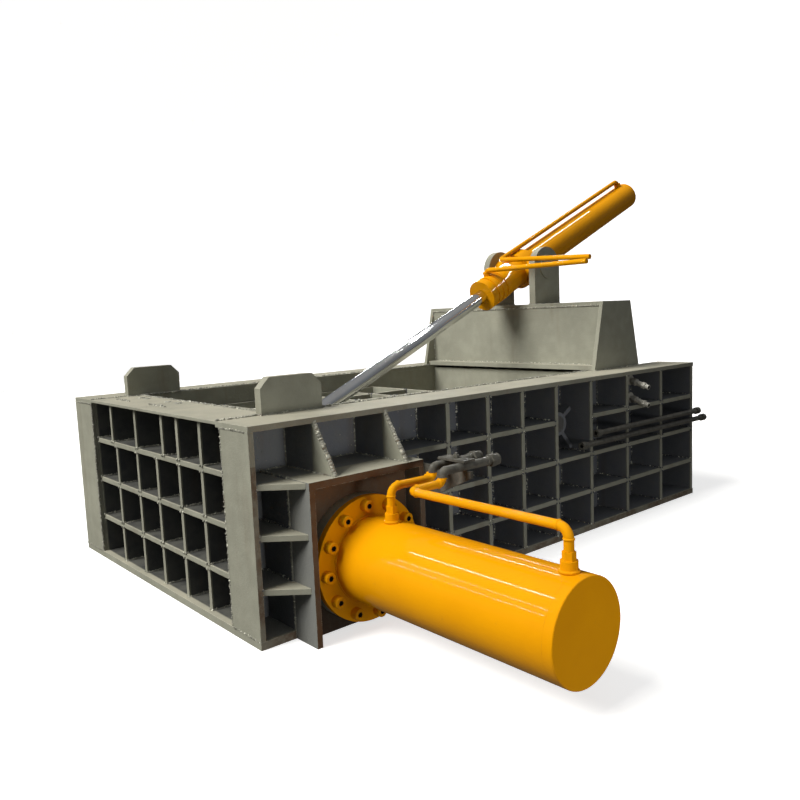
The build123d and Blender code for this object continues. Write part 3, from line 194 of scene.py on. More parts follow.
class PressStage(bpy.types.PropertyGroup):
    """Floor, light and camera."""

    floor: FloatVectorProperty(
        name="Floor", description="Colour of the floor and backdrop", subtype="COLOR",
        default=(0.80, 0.80, 0.79), min=0, max=1)
    camera_place: FloatVectorProperty(
        name="Camera place", description="Where the camera stands", subtype="TRANSLATION",
        default=(-3.664, -4.175, 1.539))
    azimuth: FloatProperty(
        name="Azimuth", description="Camera's turn about the upright axis",
        default=math.radians(-40.675), unit="ROTATION")
    elevation: FloatProperty(
        name="Elevation", description="How far the camera looks down",
        default=math.radians(6.543), unit="ROTATION")
    roll: FloatProperty(
        name="Roll", description="Camera's turn about its own line of sight",
        default=math.radians(2.365), unit="ROTATION")
    lens: FloatProperty(name="Lens", description="Focal length in millimetres", default=33.875, min=1)
    reach: FloatProperty(
        name="Floor reach", description="Radius of the floor and its backdrop",
        default=16.0, min=10, unit="LENGTH")
    key_light: FloatProperty(name="Key light", description="Strength of the main light", default=4.5, min=0)
    key_way: FloatVectorProperty(
        name="Key way", description="The way that the main light shines", subtype="DIRECTION",
        default=(0.67, -0.22, -0.72))
    key_softness: FloatProperty(
        name="Key softness", description="How wide the main light is",
        default=math.radians(32), unit="ROTATION")
    fill_light: FloatProperty(
        name="Fill light", description="Strength of the low light on the side cylinder", default=20.0, min=0)
    fill_place: FloatVectorProperty(
        name="Fill place", description="Where the fill light stands", subtype="TRANSLATION",
        default=(-1.45, -9.0, 0.45))
    strip_light: FloatProperty(
        name="Strip light", description="Strength of a square metre of the strip lights",
        default=150.0, min=0)
    strip_reach: FloatProperty(
        name="Strip reach", description="From a cylinder to its strip lights",
        default=4.0, min=1, unit="LENGTH")
    side_streaks: FloatVectorProperty(
        name="Side streaks", description="Places of the light streaks round the side cylinder", size=5,
        default=[math.radians(angle) for angle in (92, 102, 131, 144, 150)], unit="ROTATION")
    side_widths: FloatVectorProperty(
        name="Side strip widths", description="Widths of the strip lights of the side cylinder", size=5,
        default=(0.03, 0.045, 0.08, 0.025, 0.02), unit="LENGTH")
    lid_streak: FloatProperty(
        name="Lid streak", description="Place of the light streak round the lid cylinder",
        default=math.radians(122), unit="ROTATION")
    lid_width: FloatProperty(
        name="Lid strip width", description="Width of the strip light of the lid cylinder",
        default=0.28, min=0.01, unit="LENGTH")
    sky_light: FloatProperty(
        name="Sky light", description="Strength of the light all round", default=0.26, min=0)


class Signal:
    """A value in a node tree that takes part in Python sums; every sum adds its Math node."""

    def __init__(self, nodes, socket):
        self.nodes = nodes
        self.socket = socket

    def sum(self, operation, first, second):
        return self.nodes.node("ShaderNodeMath", {"operation": operation}, {0: first, 1: second})

    def __add__(self, other):
        return self.sum("ADD", self, other)

    def __sub__(self, other):
        return self.sum("SUBTRACT", self, other)

    def __rsub__(self, other):
        return self.sum("SUBTRACT", other, self)

    def __mul__(self, other):
        return self.sum("MULTIPLY", self, other)

    def __gt__(self, other):
        return self.sum("GREATER_THAN", self, other)

    def __lt__(self, other):
        return self.sum("LESS_THAN", self, other)

    def __abs__(self):
        return self.nodes.node("ShaderNodeMath", {"operation": "ABSOLUTE"}, {0: self})

    __radd__ = __add__
    __rmul__ = __mul__


class Nodes:
    """A node tree being built."""

    def __init__(self, tree):
        self.tree = tree

    def node(self, kind, settings=None, inputs=None, output=0):
        """Adds a node: its settings first, then the values or links of its sockets."""
        node = self.tree.nodes.new(kind)
        for name, value in (settings or {}).items():
            setattr(node, name, value)
        for name, value in (inputs or {}).items():
            self.feed(node.inputs[name], value)
        return Signal(self, node.outputs[output])

    def feed(self, socket, value):
        """Links a signal to a socket, or sets the socket's own value."""
        if isinstance(value, Signal):
            self.tree.links.new(value.socket, socket)
        else:
            socket.default_value = value

    def ramp(self, value, low, high):
        """A smooth step from 0 at low to 1 at high."""
        inputs = {"Value": value, "From Min": low, "From Max": high}
        return self.node("ShaderNodeMapRange", {"interpolation_type": "SMOOTHSTEP"}, inputs)

    def blend(self, mask, below, above):
        """The colour below where the mask is 0 and the colour above where it is 1."""
        below, above = (c if isinstance(c, Signal) else (*c, 1) for c in (below, above))
        return self.node("ShaderNodeMix", {"data_type": "RGBA"}, {0: mask, 6: below, 7: above}, output=2)

    def part(self, vector, axis):
        """One part of a vector."""
        return self.node("ShaderNodeSeparateXYZ", inputs={"Vector": vector}, output=axis)


class Finish(Nodes):
    """A material being built: one Principled shader and the nodes that feed it."""

    def __init__(self, name):
        self.material = bpy.data.materials.new(name)
        self.material.use_nodes = True
        super().__init__(self.material.node_tree)
        self.tree.nodes.clear()
        self.shader = self.tree.nodes.new("ShaderNodeBsdfPrincipled")
        output = self.tree.nodes.new("ShaderNodeOutputMaterial")
        self.tree.links.new(self.shader.outputs["BSDF"], output.inputs["Surface"])

    def ends(self, **inputs):
        """Feeds the shader, and returns the finished material."""
        for name, value in inputs.items():
            self.feed(self.shader.inputs[name.replace("_", " ")], value)
        return self.material

    def place(self, stretch=None):
        """Object coordinates, stretched where a pattern runs along one axis."""
        place = self.node("ShaderNodeTexCoord", output="Object")
        if stretch:
            place = self.node("ShaderNodeMapping", inputs={"Vector": place, "Scale": stretch})
        return place

    def at(self, axis):
        """How far along one of the object's own axes the surface lies."""
        return self.part(self.place(), axis)

    def facing(self, axis):
        """How far the surface looks along one of the object's own axes."""
        return self.part(self.node("ShaderNodeTexCoord", output="Normal"), axis)

    def noise(self, scale, detail=3.0, roughness=0.55, stretch=None):
        """Cloudy noise from 0 to 1."""
        inputs = {"Vector": self.place(stretch), "Scale": scale, "Detail": detail, "Roughness": roughness}
        return self.node("ShaderNodeTexNoise", inputs=inputs, output="Fac")

    def patches(self, low, high, *scale, **grain):
        """A mask of the patches where cloudy noise rises from low to high."""
        return self.ramp(self.noise(*scale, **grain), low, high)

    def rounded(self, radius):
        """The surface's direction with its edges rounded."""
        return self.node("ShaderNodeBevel", {"samples": 6}, {"Radius": radius})

    def edges(self, radius):
        """A mask of the edges, from how far rounding turns the surface."""
        flat = self.node("ShaderNodeNewGeometry", output="Normal")
        inputs = {0: flat, 1: self.rounded(radius)}
        return 1 - self.node("ShaderNodeVectorMath", {"operation": "DOT_PRODUCT"}, inputs, output="Value")

    def bump(self, height, depth, normal=None):
        """The surface's direction over a relief of that depth."""
        inputs = {"Height": height, "Distance": depth, "Strength": 1.0}
        if normal:
            inputs["Normal"] = normal
        return self.node("ShaderNodeBump", inputs=inputs)


def tint(colour, share):
    """A colour made lighter or darker."""
    return tuple(share * part for part in colour)


def paint_layers(finish, colours):
    """Grey paint with cloudy patches, painted shade in the rib cells, dusty tops and chipped edges; returns
    its colour.
    """
    x, y, z = (finish.at(axis) for axis in (X, Y, Z))
    ny, nz = (finish.facing(axis) for axis in (Y, Z))
    # Masks of the painted shade inside the rib cells of both sides and the front end; a little weaker towards
    # the front end and on up-facing faces forward of the mount's rear end.
    below = z < FLANGE_UNDER - HAIR
    on_side = (abs(y) > WALL - SLACK) * (x > RIB_FRONT) * (x < REAR_PLATE + HAIR) * below
    on_front = (x < FRONT_WALL + SLACK) * (abs(y) < WALL - SLACK) * below
    top = nz > FACES_PARTLY
    rearward = finish.ramp(x, CELL_LEAD, MOUNT_RIGHT)
    side = finish.ramp(RIB_EDGE - abs(y), HAIR, EDGE_FADE) * (0.80 + 0.17 * rearward)
    front = 0.95 * finish.ramp(x - RIB_FRONT, HAIR, EDGE_FADE)
    depth = on_side * side * (1 - 0.12 * top * (x < MOUNT_RIGHT)) + on_front * front
    # The painted shade colour: darker on up-facing faces, where the key light falls into the front cells, and
    # lighter in the side cells, which get little light.
    shade = finish.blend(top, colours.shade, tint(colours.shade, FRONT_SHELF_PAINTED_SHADE))
    shade = finish.blend(on_side, shade, tint(colours.shade, SIDE_CELL_PAINTED_SHADE))
    clouds = finish.patches(0.32, 0.68, 1.7)
    mottle = finish.patches(0.35, 0.70, 11, detail=6)
    light = tint(colours.paint, 1.18)
    dull = tint(colours.paint, 0.86)
    colour = finish.blend(0.55 * clouds + 0.35 * mottle, dull, light)
    # Painted shade laid into the cells from just inside their open edges.
    colour = finish.blend(depth * (0.82 + 0.18 * mottle), colour, shade)
    streaks = finish.patches(0.56, 0.74, 7, detail=4, stretch=(1, 1, 0.12))
    colour = finish.blend(0.22 * streaks * (abs(nz) < FACES_PARTLY), colour, colours.rust)
    dusty = finish.ramp(nz, 0.55, 0.95) * (0.45 + 0.55 * finish.patches(0.3, 0.62, 4.5, detail=5))
    colour = finish.blend(0.82 * dusty * (1 - depth), colour, colours.dust)
    raw = (abs(y) > SIDE_EDGE - SLACK) * (abs(ny) > FACES_FULLY) * (0.2 + 0.8 * (z < RAW_BELOW))
    scorch = finish.patches(0.42, 0.72, 30, detail=6, roughness=0.7)
    burnt = finish.blend(0.6 * scorch, colours.cut_edge, colours.paint)
    painted_over = finish.patches(0.44, 0.6, 2.6, detail=4)
    return finish.blend(raw * (0.9 - 0.55 * painted_over), colour, burnt)


def press_grey(colours):
    """Brushed-on grey paint of the box, bridge and lid."""
    finish = Finish("press_grey")
    colour = paint_layers(finish, colours)
    # Lighter paint on edges in patches: partly worn paint, partly a painted highlight where edges catch the
    # light.
    worn_and_highlit = finish.ramp(finish.edges(0.006), 0.02, 0.22) * finish.patches(0.38, 0.6, 26, detail=5)
    colour = finish.blend(0.6 * worn_and_highlit, colour, tint(colours.paint, 1.9))
    grain = finish.noise(70, detail=6, roughness=0.65) + 0.8 * finish.noise(9, detail=2)
    rough = 0.5 + 0.28 * finish.noise(14, detail=4)
    return finish.ends(Base_Color=colour, Roughness=rough, Specular_IOR_Level=0.2,
                       Normal=finish.bump(grain, 0.0022, finish.rounded(0.004)))


def mount_steel(colours):
    """Grey plate whose front faces are bare, flame-cut and rust-brown, with painted shadow low on the
    recessed plate and painted shade on the faces that look along the press.
    """
    finish = Finish("mount_steel")
    colour = paint_layers(finish, colours)
    bare = finish.ramp(0 - finish.facing(Y), FACES_PARTLY, FACES_FULLY)
    patches = finish.patches(0.38, 0.66, 6, detail=6, roughness=0.7)
    rust_and_painted_shadow = finish.blend(patches, colours.rust, colours.cut_edge)
    # Painted shadow: the recessed plate behind the side cylinder turns near black towards the bottom, under
    # the flange's shadow.
    painted_shadow = (1 - finish.ramp(finish.at(Z), *PAINTED_SHADOW_LEVELS)) * (abs(finish.at(Y)) < abs(MOUNT_BACK) + 2 * SLACK)
    rust_and_painted_shadow = finish.blend(0.85 * painted_shadow, rust_and_painted_shadow, (0.014, 0.011, 0.009))
    colour = finish.blend(bare * 0.9, colour, rust_and_painted_shadow)
    # Painted shade on the faces that look along the press, where the corner post shades them.
    colour = finish.blend(0.6 * (abs(finish.facing(X)) > FACES_FULLY), colour, tint(colours.shade, 2.0))
    # Lighter paint on edges in patches: partly worn paint, partly a painted highlight where edges catch the
    # light.
    worn_and_highlit = finish.ramp(finish.edges(0.006), 0.02, 0.22) * finish.patches(0.4, 0.6, 30, detail=5)
    colour = finish.blend(0.55 * worn_and_highlit, colour, tint(colours.paint, 2.0))
    grain = finish.noise(55, detail=7, roughness=0.7)
    return finish.ends(Base_Color=colour, Roughness=0.55 + 0.3 * finish.noise(18), Specular_IOR_Level=0.2,
                       Normal=finish.bump(grain, 0.003, finish.rounded(0.004)))


def platen_steel(colours):
    """Pushing faces: bare steel, scored along the stroke and browned."""
    finish = Finish("platen_steel")
    scores = finish.noise(45, detail=5, stretch=(1, 1, 0.06))
    patches = finish.patches(0.35, 0.65, 3.5, detail=6)
    colour = finish.blend(patches, (0.17, 0.165, 0.155), (0.10, 0.075, 0.055))
    colour = finish.blend(finish.ramp(scores, 0.6, 0.75), colour, (0.30, 0.29, 0.28))
    return finish.ends(Base_Color=colour, Metallic=0.55 + 0.3 * patches, Roughness=0.38 + 0.3 * scores,
                       Normal=finish.bump(scores, 0.001, finish.rounded(0.004)))


def yellow_enamel(colours):
    """Thick glossy yellow enamel with slight runs and handling marks."""
    finish = Finish("yellow_enamel")
    clouds = finish.patches(0.3, 0.7, 2.2, detail=4)
    marks = finish.patches(0.62, 0.76, 17, detail=7, roughness=0.7)
    deep = (colours.yellow[0] * 0.93, colours.yellow[1] * 0.9, colours.yellow[2])
    colour = finish.blend(clouds, deep, colours.yellow)
    colour = finish.blend(0.3 * marks, colour, (0.45, 0.20, 0.02))
    chips = finish.ramp(finish.edges(0.004), 0.05, 0.3) * finish.patches(0.5, 0.62, 60, detail=4)
    colour = finish.blend(0.45 * chips, colour, (0.30, 0.15, 0.03))
    peel = finish.noise(60, detail=2) + 1.5 * finish.noise(8, detail=2)
    return finish.ends(Base_Color=colour, Roughness=0.22 + 0.10 * clouds + 0.2 * marks, Coat_Weight=0.4,
                       Coat_Roughness=0.03, Specular_IOR_Level=0.0,
                       Normal=finish.bump(peel, 0.0005, finish.rounded(0.003)))


def hard_chrome(colours):
    """Hard chrome with hair-fine polishing lines."""
    finish = Finish("hard_chrome")
    lines = finish.noise(160, detail=3, stretch=(1, 0.15, 0.15))
    film = finish.patches(0.4, 0.7, 5, detail=4)
    colour = finish.blend(0.5 * film, (0.78, 0.79, 0.80), (0.60, 0.58, 0.53))
    return finish.ends(Base_Color=colour, Metallic=1.0, Roughness=0.10 + 0.12 * film + 0.06 * lines)


def machined_steel(colours):
    """Machined steel under a thin brown film."""
    finish = Finish("machined_steel")
    lines = finish.noise(120, detail=2, stretch=(1, 0.2, 1))
    film = finish.patches(0.4, 0.65, 8, detail=5)
    colour = finish.blend(film, (0.42, 0.41, 0.39), (0.24, 0.19, 0.14))
    return finish.ends(Base_Color=colour, Metallic=0.9 - 0.35 * film,
                       Roughness=0.32 + 0.2 * lines + 0.2 * film, Normal=finish.rounded(0.002))


def dark_pipe(colours):
    """Dark phosphated pipe with dusty tops."""
    finish = Finish("dark_pipe")
    mottle = finish.patches(0.35, 0.7, 24, detail=6)
    colour = finish.blend(mottle, tint(colours.pipe, 0.7), tint(colours.pipe, 1.35))
    dusty = finish.ramp(finish.facing(Z), 0.3, 0.95) * finish.patches(0.35, 0.65, 13, detail=4)
    colour = finish.blend(0.05 * dusty, colour, colours.dust)
    return finish.ends(Base_Color=colour, Roughness=0.30 + 0.22 * mottle, Specular_IOR_Level=0.3,
                       Normal=finish.bump(finish.noise(90, detail=4), 0.0008, finish.rounded(0.002)))


def plated_fitting(colours):
    """Zinc-plated fittings, bright with a faint yellow tint."""
    finish = Finish("plated_fitting")
    mottle = finish.noise(35, detail=4)
    colour = finish.blend(mottle, (0.62, 0.61, 0.55), (0.36, 0.34, 0.28))
    return finish.ends(Base_Color=colour, Metallic=0.45, Roughness=0.26 + 0.2 * mottle,
                       Normal=finish.rounded(0.001))


def socket_black(colours):
    """Painted shade: near-black floor and walls of a bolt's socket or a pipe's open end, where the hole lies
    in shade.
    """
    finish = Finish("socket_black")
    hole_mottle = finish.noise(90, detail=4)
    colour = finish.blend(hole_mottle, (0.010, 0.009, 0.008), (0.028, 0.022, 0.016))
    return finish.ends(Base_Color=colour, Roughness=0.45 + 0.3 * hole_mottle)


def crumbs(finish):
    """A mask of bright specks on weld metal: painted glints."""
    return finish.patches(0.56, 0.66, 62, detail=2)


def weld_bead(colours):
    """Weld metal under thin grey paint, in lighter and darker patches, with painted glints on bright specks.
    """
    finish = Finish("weld_bead")
    patches = finish.patches(0.36, 0.66, 19, detail=5)
    colour = finish.blend(patches, tint(colours.weld, 0.72), tint(colours.weld, 1.3))
    burnt = finish.patches(0.6, 0.75, 7, detail=5)
    colour = finish.blend(0.55 * burnt, colour, colours.cut_edge)
    # Painted glints: bright specks on the weld metal.
    colour = finish.blend(crumbs(finish), colour, tint(colours.weld, 2.4))
    return finish.ends(Base_Color=colour, Metallic=0.25 * patches, Roughness=0.38 + 0.25 * finish.noise(40),
                       Normal=finish.bump(finish.noise(220, detail=3), 0.0008))


def cell_weld(colours):
    """Weld metal in the cells, in patches of the cells' painted shade, with painted glints on bright specks.
    """
    finish = Finish("cell_weld")
    patches = finish.patches(0.42, 0.7, 23, detail=5)
    # Painted shade: patches of the weld take the cells' painted shade colour.
    colour = finish.blend(patches, tint(colours.shade, 1.4), tint(colours.weld, 0.75))
    # Painted glints: bright specks on the weld metal.
    colour = finish.blend(crumbs(finish), colour, tint(colours.weld, 3.2))
    return finish.ends(Base_Color=colour, Roughness=0.28 + 0.3 * finish.noise(40),
                       Normal=finish.bump(finish.noise(220, detail=3), 0.0008))


def floor_white(stage):
    """Pale floor with the faintest unevenness."""
    finish = Finish("floor_white")
    clouds = finish.noise(0.6, detail=3)
    colour = finish.blend(clouds, tint(stage.floor, 0.97), tuple(stage.floor))
    return finish.ends(Base_Color=colour, Roughness=0.75 + 0.1 * clouds, Emission_Color=(1, 1, 1, 1),
                       Emission_Strength=0.65)


def backdrop_white(stage):
    """Evenly glowing white backdrop."""
    finish = Finish("backdrop_white")
    return finish.ends(Base_Color=(*stage.floor, 1), Emission_Color=(1, 1, 1, 1), Emission_Strength=0.9)


PAINTED = ["base_plate", "near_wall_plate", "far_wall_plate", "front_wall_plate", "rear_end_plate",
           "near_side_ribs", "far_side_ribs", "front_ribs", "corner_plates", "top_flanges",
           "front_top_plate", "chamber_liners", "top_lugs", "tunnel_roof", "bulkheads", "rear_deck_plate",
           "bridge_end_plates", "bridge_bottom_plate", "bridge_web_plates", "bridge_top_plate",
           "trunnion_stands", "trunnion_caps", "hinge_bosses", "lid_plate", "lid_ribs", "rod_channel",
           "lid_hinge_arms", "side_mount_gussets", "side_mount_ring"]
COATED = {
    press_grey: PAINTED,
    mount_steel: ["side_mount_frame", "side_mount_plate"],
    platen_steel: ["side_ram_platen", "main_ram_platen"],
    yellow_enamel: ["side_cylinder_flange", "side_cylinder_barrel", "side_cylinder_end_cap",
                    "side_flange_bolts", "side_port_fittings", "side_pipes", "main_cylinder_barrel",
                    "main_cylinder_flange", "main_flange_bolts", "lid_cylinder_barrel",
                    "lid_cylinder_head", "lid_cylinder_trunnion", "lid_cylinder_pipes"],
    hard_chrome: ["lid_rod", "side_ram_rod", "main_ram_rod"],
    machined_steel: ["hinge_shaft", "side_cylinder_gland", "main_cylinder_gland", "lid_rod_pin",
                     "lid_rod_eye"],
    dark_pipe: ["wall_pipes", "wall_pipe_bracket", "wall_pipe_clamp", "clamp_bolt", "rear_pipes"],
    plated_fitting: ["wall_fittings"],
}


def material(make):
    """The material of a finish, made on its first use."""
    return bpy.data.materials.get(make.__name__) or make(bpy.context.scene.press_finishes)


class Tree(Nodes):
    """A Geometry Nodes tree being built, with named inputs."""

    def __init__(self, name):
        super().__init__(bpy.data.node_groups.new(name, "GeometryNodeTree"))
        self.source = self.tree.nodes.new("NodeGroupInput")
        self.target = self.tree.nodes.new("NodeGroupOutput")
        self.tree.interface.new_socket("Geometry", in_out="OUTPUT", socket_type="NodeSocketGeometry")
        self.path = self.ask("Path", "Geometry")

    def ask(self, name, kind):
        """Adds a named input and returns it."""
        self.tree.interface.new_socket(name, in_out="INPUT", socket_type="NodeSocket" + kind)
        return Signal(self, self.source.outputs[name])

    def scatter(self, low, high, seed):
        """A random vector between two others."""
        inputs = {0: low, 1: high, "Seed": seed}
        return self.node("FunctionNodeRandomValue", {"data_type": "FLOAT_VECTOR"}, inputs)

    def end(self, instances, smooth=True):
        """Makes the instances real and gives them their finish, and a second one where their faces say so."""
        real = self.node("GeometryNodeRealizeInstances", inputs={"Geometry": instances})
        if smooth:
            real = self.node("GeometryNodeSetShadeSmooth", inputs={"Geometry": real})
        inputs = {"Geometry": real, "Material": self.ask("Finish", "Material")}
        dressed = self.node("GeometryNodeSetMaterial", inputs=inputs)
        second = self.node("GeometryNodeInputNamedAttribute", {"data_type": "BOOLEAN"}, {"Name": SECOND})
        inputs = {"Geometry": dressed, "Selection": second, "Material": self.ask("Second finish", "Material")}
        dressed = self.node("GeometryNodeSetMaterial", inputs=inputs)
        self.feed(self.target.inputs[0], dressed)
        return self.tree


def weld_tree():
    """Ripples of weld metal along lines: squashed beads, a pitch apart, each a little different."""
    tree = Tree("weld_tree")
    pitch = tree.ask("Pitch", "Float")
    bead = tree.ask("Bead", "Vector")
    least = tree.ask("Least", "Vector")
    most = tree.ask("Most", "Vector")
    stray = tree.ask("Stray", "Vector")
    seed = tree.ask("Seed", "Int")
    detail = tree.ask("Detail", "Int")
    curve = tree.node("GeometryNodeMeshToCurve", inputs={"Mesh": tree.path})
    steps = tree.node("GeometryNodeResampleCurve", {"mode": "LENGTH"}, {"Curve": curve, "Length": pitch})
    back = tree.node("ShaderNodeVectorMath", {"operation": "SCALE"}, {0: stray, "Scale": -1.0})
    offset = tree.scatter(back, stray, seed)
    strayed = tree.node("GeometryNodeSetPosition", inputs={"Geometry": steps, "Offset": offset})
    line = tree.node("GeometryNodeInputTangent")
    turn = tree.node("FunctionNodeAlignRotationToVector", {"axis": "X"}, {"Vector": line})
    spread = tree.scatter(least, most, seed)
    size = tree.node("ShaderNodeVectorMath", {"operation": "MULTIPLY"}, {0: bead, 1: spread})
    ball = tree.node("GeometryNodeMeshIcoSphere", inputs={"Radius": 1.0, "Subdivisions": detail})
    inputs = {"Points": strayed, "Instance": ball, "Rotation": turn, "Scale": size}
    return tree.end(tree.node("GeometryNodeInstanceOnPoints", inputs=inputs))


def spatter_tree():
    """Specks of weld spatter strewn over faces."""
    tree = Tree("spatter_tree")
    density = tree.ask("Density", "Float")
    speck = tree.ask("Speck", "Float")
    seed = tree.ask("Seed", "Int")
    points = tree.node("GeometryNodeDistributePointsOnFaces", {"distribute_method": "RANDOM"},
                       {"Mesh": tree.path, "Density": density, "Seed": seed})
    spread = tree.scatter((0.4, 0.4, 0.4), (1.4, 1.4, 1.4), seed)
    size = tree.node("ShaderNodeVectorMath", {"operation": "SCALE"}, {0: spread, "Scale": speck})
    ball = tree.node("GeometryNodeMeshIcoSphere", inputs={"Radius": 1.0, "Subdivisions": 1})
    inputs = {"Points": points, "Instance": ball, "Scale": size}
    return tree.end(tree.node("GeometryNodeInstanceOnPoints", inputs=inputs))


def repeat_tree():
    """One shape set on every point of a path."""
    tree = Tree("repeat_tree")
    shape = tree.ask("Shape", "Object")
    mesh = tree.node("GeometryNodeObjectInfo", inputs={"Object": shape}, output="Geometry")
    inputs = {"Points": tree.path, "Instance": mesh}
    return tree.end(tree.node("GeometryNodeInstanceOnPoints", inputs=inputs), smooth=False)


def group(make):
    """The Geometry Nodes tree of that name, made on its first use."""
    return bpy.data.node_groups.get(make.__name__) or make()


def put(name, mesh):
    """A new object at the origin with that mesh."""
    piece = bpy.data.objects.new(name, mesh)
    bpy.context.scene.collection.objects.link(piece)
    return piece


def grow(name, tree, mesh, **inputs):
    """Runs a tree on a mesh and returns the plain mesh piece that it makes."""
    holder = put(name + "_path", mesh)
    modifier = holder.modifiers.new(tree.name, "NODES")
    modifier.node_group = tree
    for item in tree.interface.items_tree:
        if item.in_out == "INPUT" and item.name in inputs:
            modifier[item.identifier] = inputs[item.name]
    graph = bpy.context.evaluated_depsgraph_get()
    grown = bpy.data.meshes.new_from_object(holder.evaluated_get(graph))
    bpy.data.objects.remove(holder)
    if not grown.polygons:
        raise RuntimeError(name + " came out empty")
    return put(name, grown)


def settle(piece, body, slot, *nodes):
    """Hands a finished piece to its body and hides the CAD nodes it stands for; its slot is not used."""
    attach(piece, body)
    if nodes:
        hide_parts(*nodes)


def solids(node):
    """Lowest and highest corner of every separate solid of a CAD node."""
    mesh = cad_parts[node].data
    corners = [tuple(round(c, 5) for c in vertex.co) for vertex in mesh.vertices]
    leader = {corner: corner for corner in corners}

    def head(corner):
        while leader[corner] != corner:
            leader[corner] = leader[leader[corner]]
            corner = leader[corner]
        return corner

    for polygon in mesh.polygons:
        first, *others = (corners[index] for index in polygon.vertices)
        for other in others:
            leader[head(other)] = head(first)
    members = {}
    for corner in leader:
        members.setdefault(head(corner), []).append(corner)
    return sorted((Vector(map(min, *part)), Vector(map(max, *part))) for part in members.values())


def line_mesh(name, lines):
    """A mesh of loose edges, one for each line."""
    mesh = bpy.data.meshes.new(name)
    points = [point for line in lines for point in line]
    mesh.from_pydata(points, [(place, place + 1) for place in range(0, len(points), 2)], [])
    return mesh


def rib_seams(node, depth):
    """Where each plate of a node meets its wall, and its two ends meet their neighbours."""
    lines = []
    for low, high in solids(node):
        thin = min((X, Y, Z), key=lambda axis: high[axis] - low[axis])
        if high[thin] - low[thin] > PLATE_LIMIT or thin == depth:
            continue
        along = X + Y + Z - depth - thin
        wall, edge = sorted((low[depth], high[depth]), key=abs)
        edge = max(-RIB_EDGE, min(RIB_EDGE, edge)) if depth == Y else edge
        ends = (low[along], high[along])
        for face in (low[thin], high[thin]):
            corner = with_part((0, 0, 0), thin, face)
            lines.append([with_part(with_part(corner, depth, wall), along, end) for end in ends])
            for end in ends:
                foot = with_part(corner, along, end)
                lines.append([with_part(foot, depth, reach) for reach in (wall, edge)])
    return lines


def with_part(point, axis, value):
    """A copy of a point with one part set."""
    copy = Vector(point)
    copy[axis] = value
    return copy


def ring_lines(centre, axis, radius, steps=48):
    """Short lines round a circle about one axis."""
    first, second = [part for part in (X, Y, Z) if part != axis]
    points = []
    for step in range(steps + 1):
        angle = math.tau * step / steps
        point = Vector(centre)
        point[first] += radius * math.cos(angle)
        point[second] += radius * math.sin(angle)
        points.append(point)
    return [list(pair) for pair in zip(points, points[1:])]


def upright(x, y, low, high):
    """An upright line."""
    return [Vector((x, y, low)), Vector((x, y, high))]


def lengthwise(y, z, low, high):
    """A line along the press."""
    return [Vector((low, y, z)), Vector((high, y, z))]


def crosswise(x, z, low, high):
    """A line across the press."""
    return [Vector((x, low, z)), Vector((x, high, z))]


def post_seams():
    """Along the corner posts' inner edges, tops and feet."""
    lines = []
    inset = bpy.context.scene.press_sizes.heavy_bead
    for low, high in solids("corner_plates"):
        inner = min((low[Y], high[Y]), key=abs)
        face = low[X] + 0.6 * inset
        lines.append(upright(face, inner, low[Z], high[Z]))
        lines += [crosswise(face, z, low[Y] + inset, high[Y] - inset) for z in (low[Z], high[Z])]
    return lines


def foot_seams(node):
    """Round the feet of upright plates."""
    lines = []
    for low, high in solids(node):
        lines += [lengthwise(y, low[Z], low[X], high[X]) for y in (low[Y], high[Y])]
        lines += [crosswise(x, low[Z], low[Y], high[Y]) for x in (low[X], high[X])]
    return lines


def top_seams():
    """Along the inner edges of the flanges, the front top plate and the feet of the lugs."""
    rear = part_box("bridge_end_plates")[0][X]
    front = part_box("front_top_plate")[1][X]
    lines = []
    for low, high in solids("top_flanges"):
        inner = min((low[Y], high[Y]), key=abs)
        lines.append(lengthwise(inner, high[Z], front, rear))
        lines.append(lengthwise(inner, high[Z], low[X] + bpy.context.scene.press_sizes.heavy_bead, front))
    low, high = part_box("front_top_plate")
    lines.append(crosswise(high[X], high[Z], low[Y], high[Y]))
    row = low[X] + SCAR_ROW_SHARE * (high[X] - low[X])
    lines += [crosswise(row, high[Z], first * high[Y], last * high[Y]) for first, last in SCAR_SHARES]
    return lines + foot_seams("top_lugs")


def bridge_seams():
    """Round the feet of the bridge, along its front and rear webs, and round the feet of its stands."""
    lines = []
    for low, high in solids("bridge_end_plates"):
        lines += [lengthwise(y, low[Z], low[X], high[X]) for y in (low[Y], high[Y])]
        inner = min((low[Y], high[Y]), key=abs)
        for web_low, web_high in solids("bridge_web_plates"):
            outer = max((web_low[X], web_high[X]), key=lambda x: abs(x - (low[X] + high[X]) / 2))
            lines.append(upright(outer, inner, web_low[Z], web_high[Z]))
    low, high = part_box("bridge_top_plate")
    lines += [crosswise(x, low[Z], low[Y], high[Y]) for x in (low[X], high[X])]
    low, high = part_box("bridge_web_plates")
    lines += [crosswise(x, low[Z], low[Y], high[Y]) for x in (low[X], high[X])]
    return lines + foot_seams("trunnion_stands")


def gusset_seams():
    """Over the sloping edges of the two gussets."""
    lines = []
    for low, high in solids("side_mount_gussets"):
        middle = (low[X] + high[X]) / 2
        lines.append([Vector((middle, low[Y], low[Z])), Vector((middle, -RIB_EDGE, high[Z]))])
    return lines


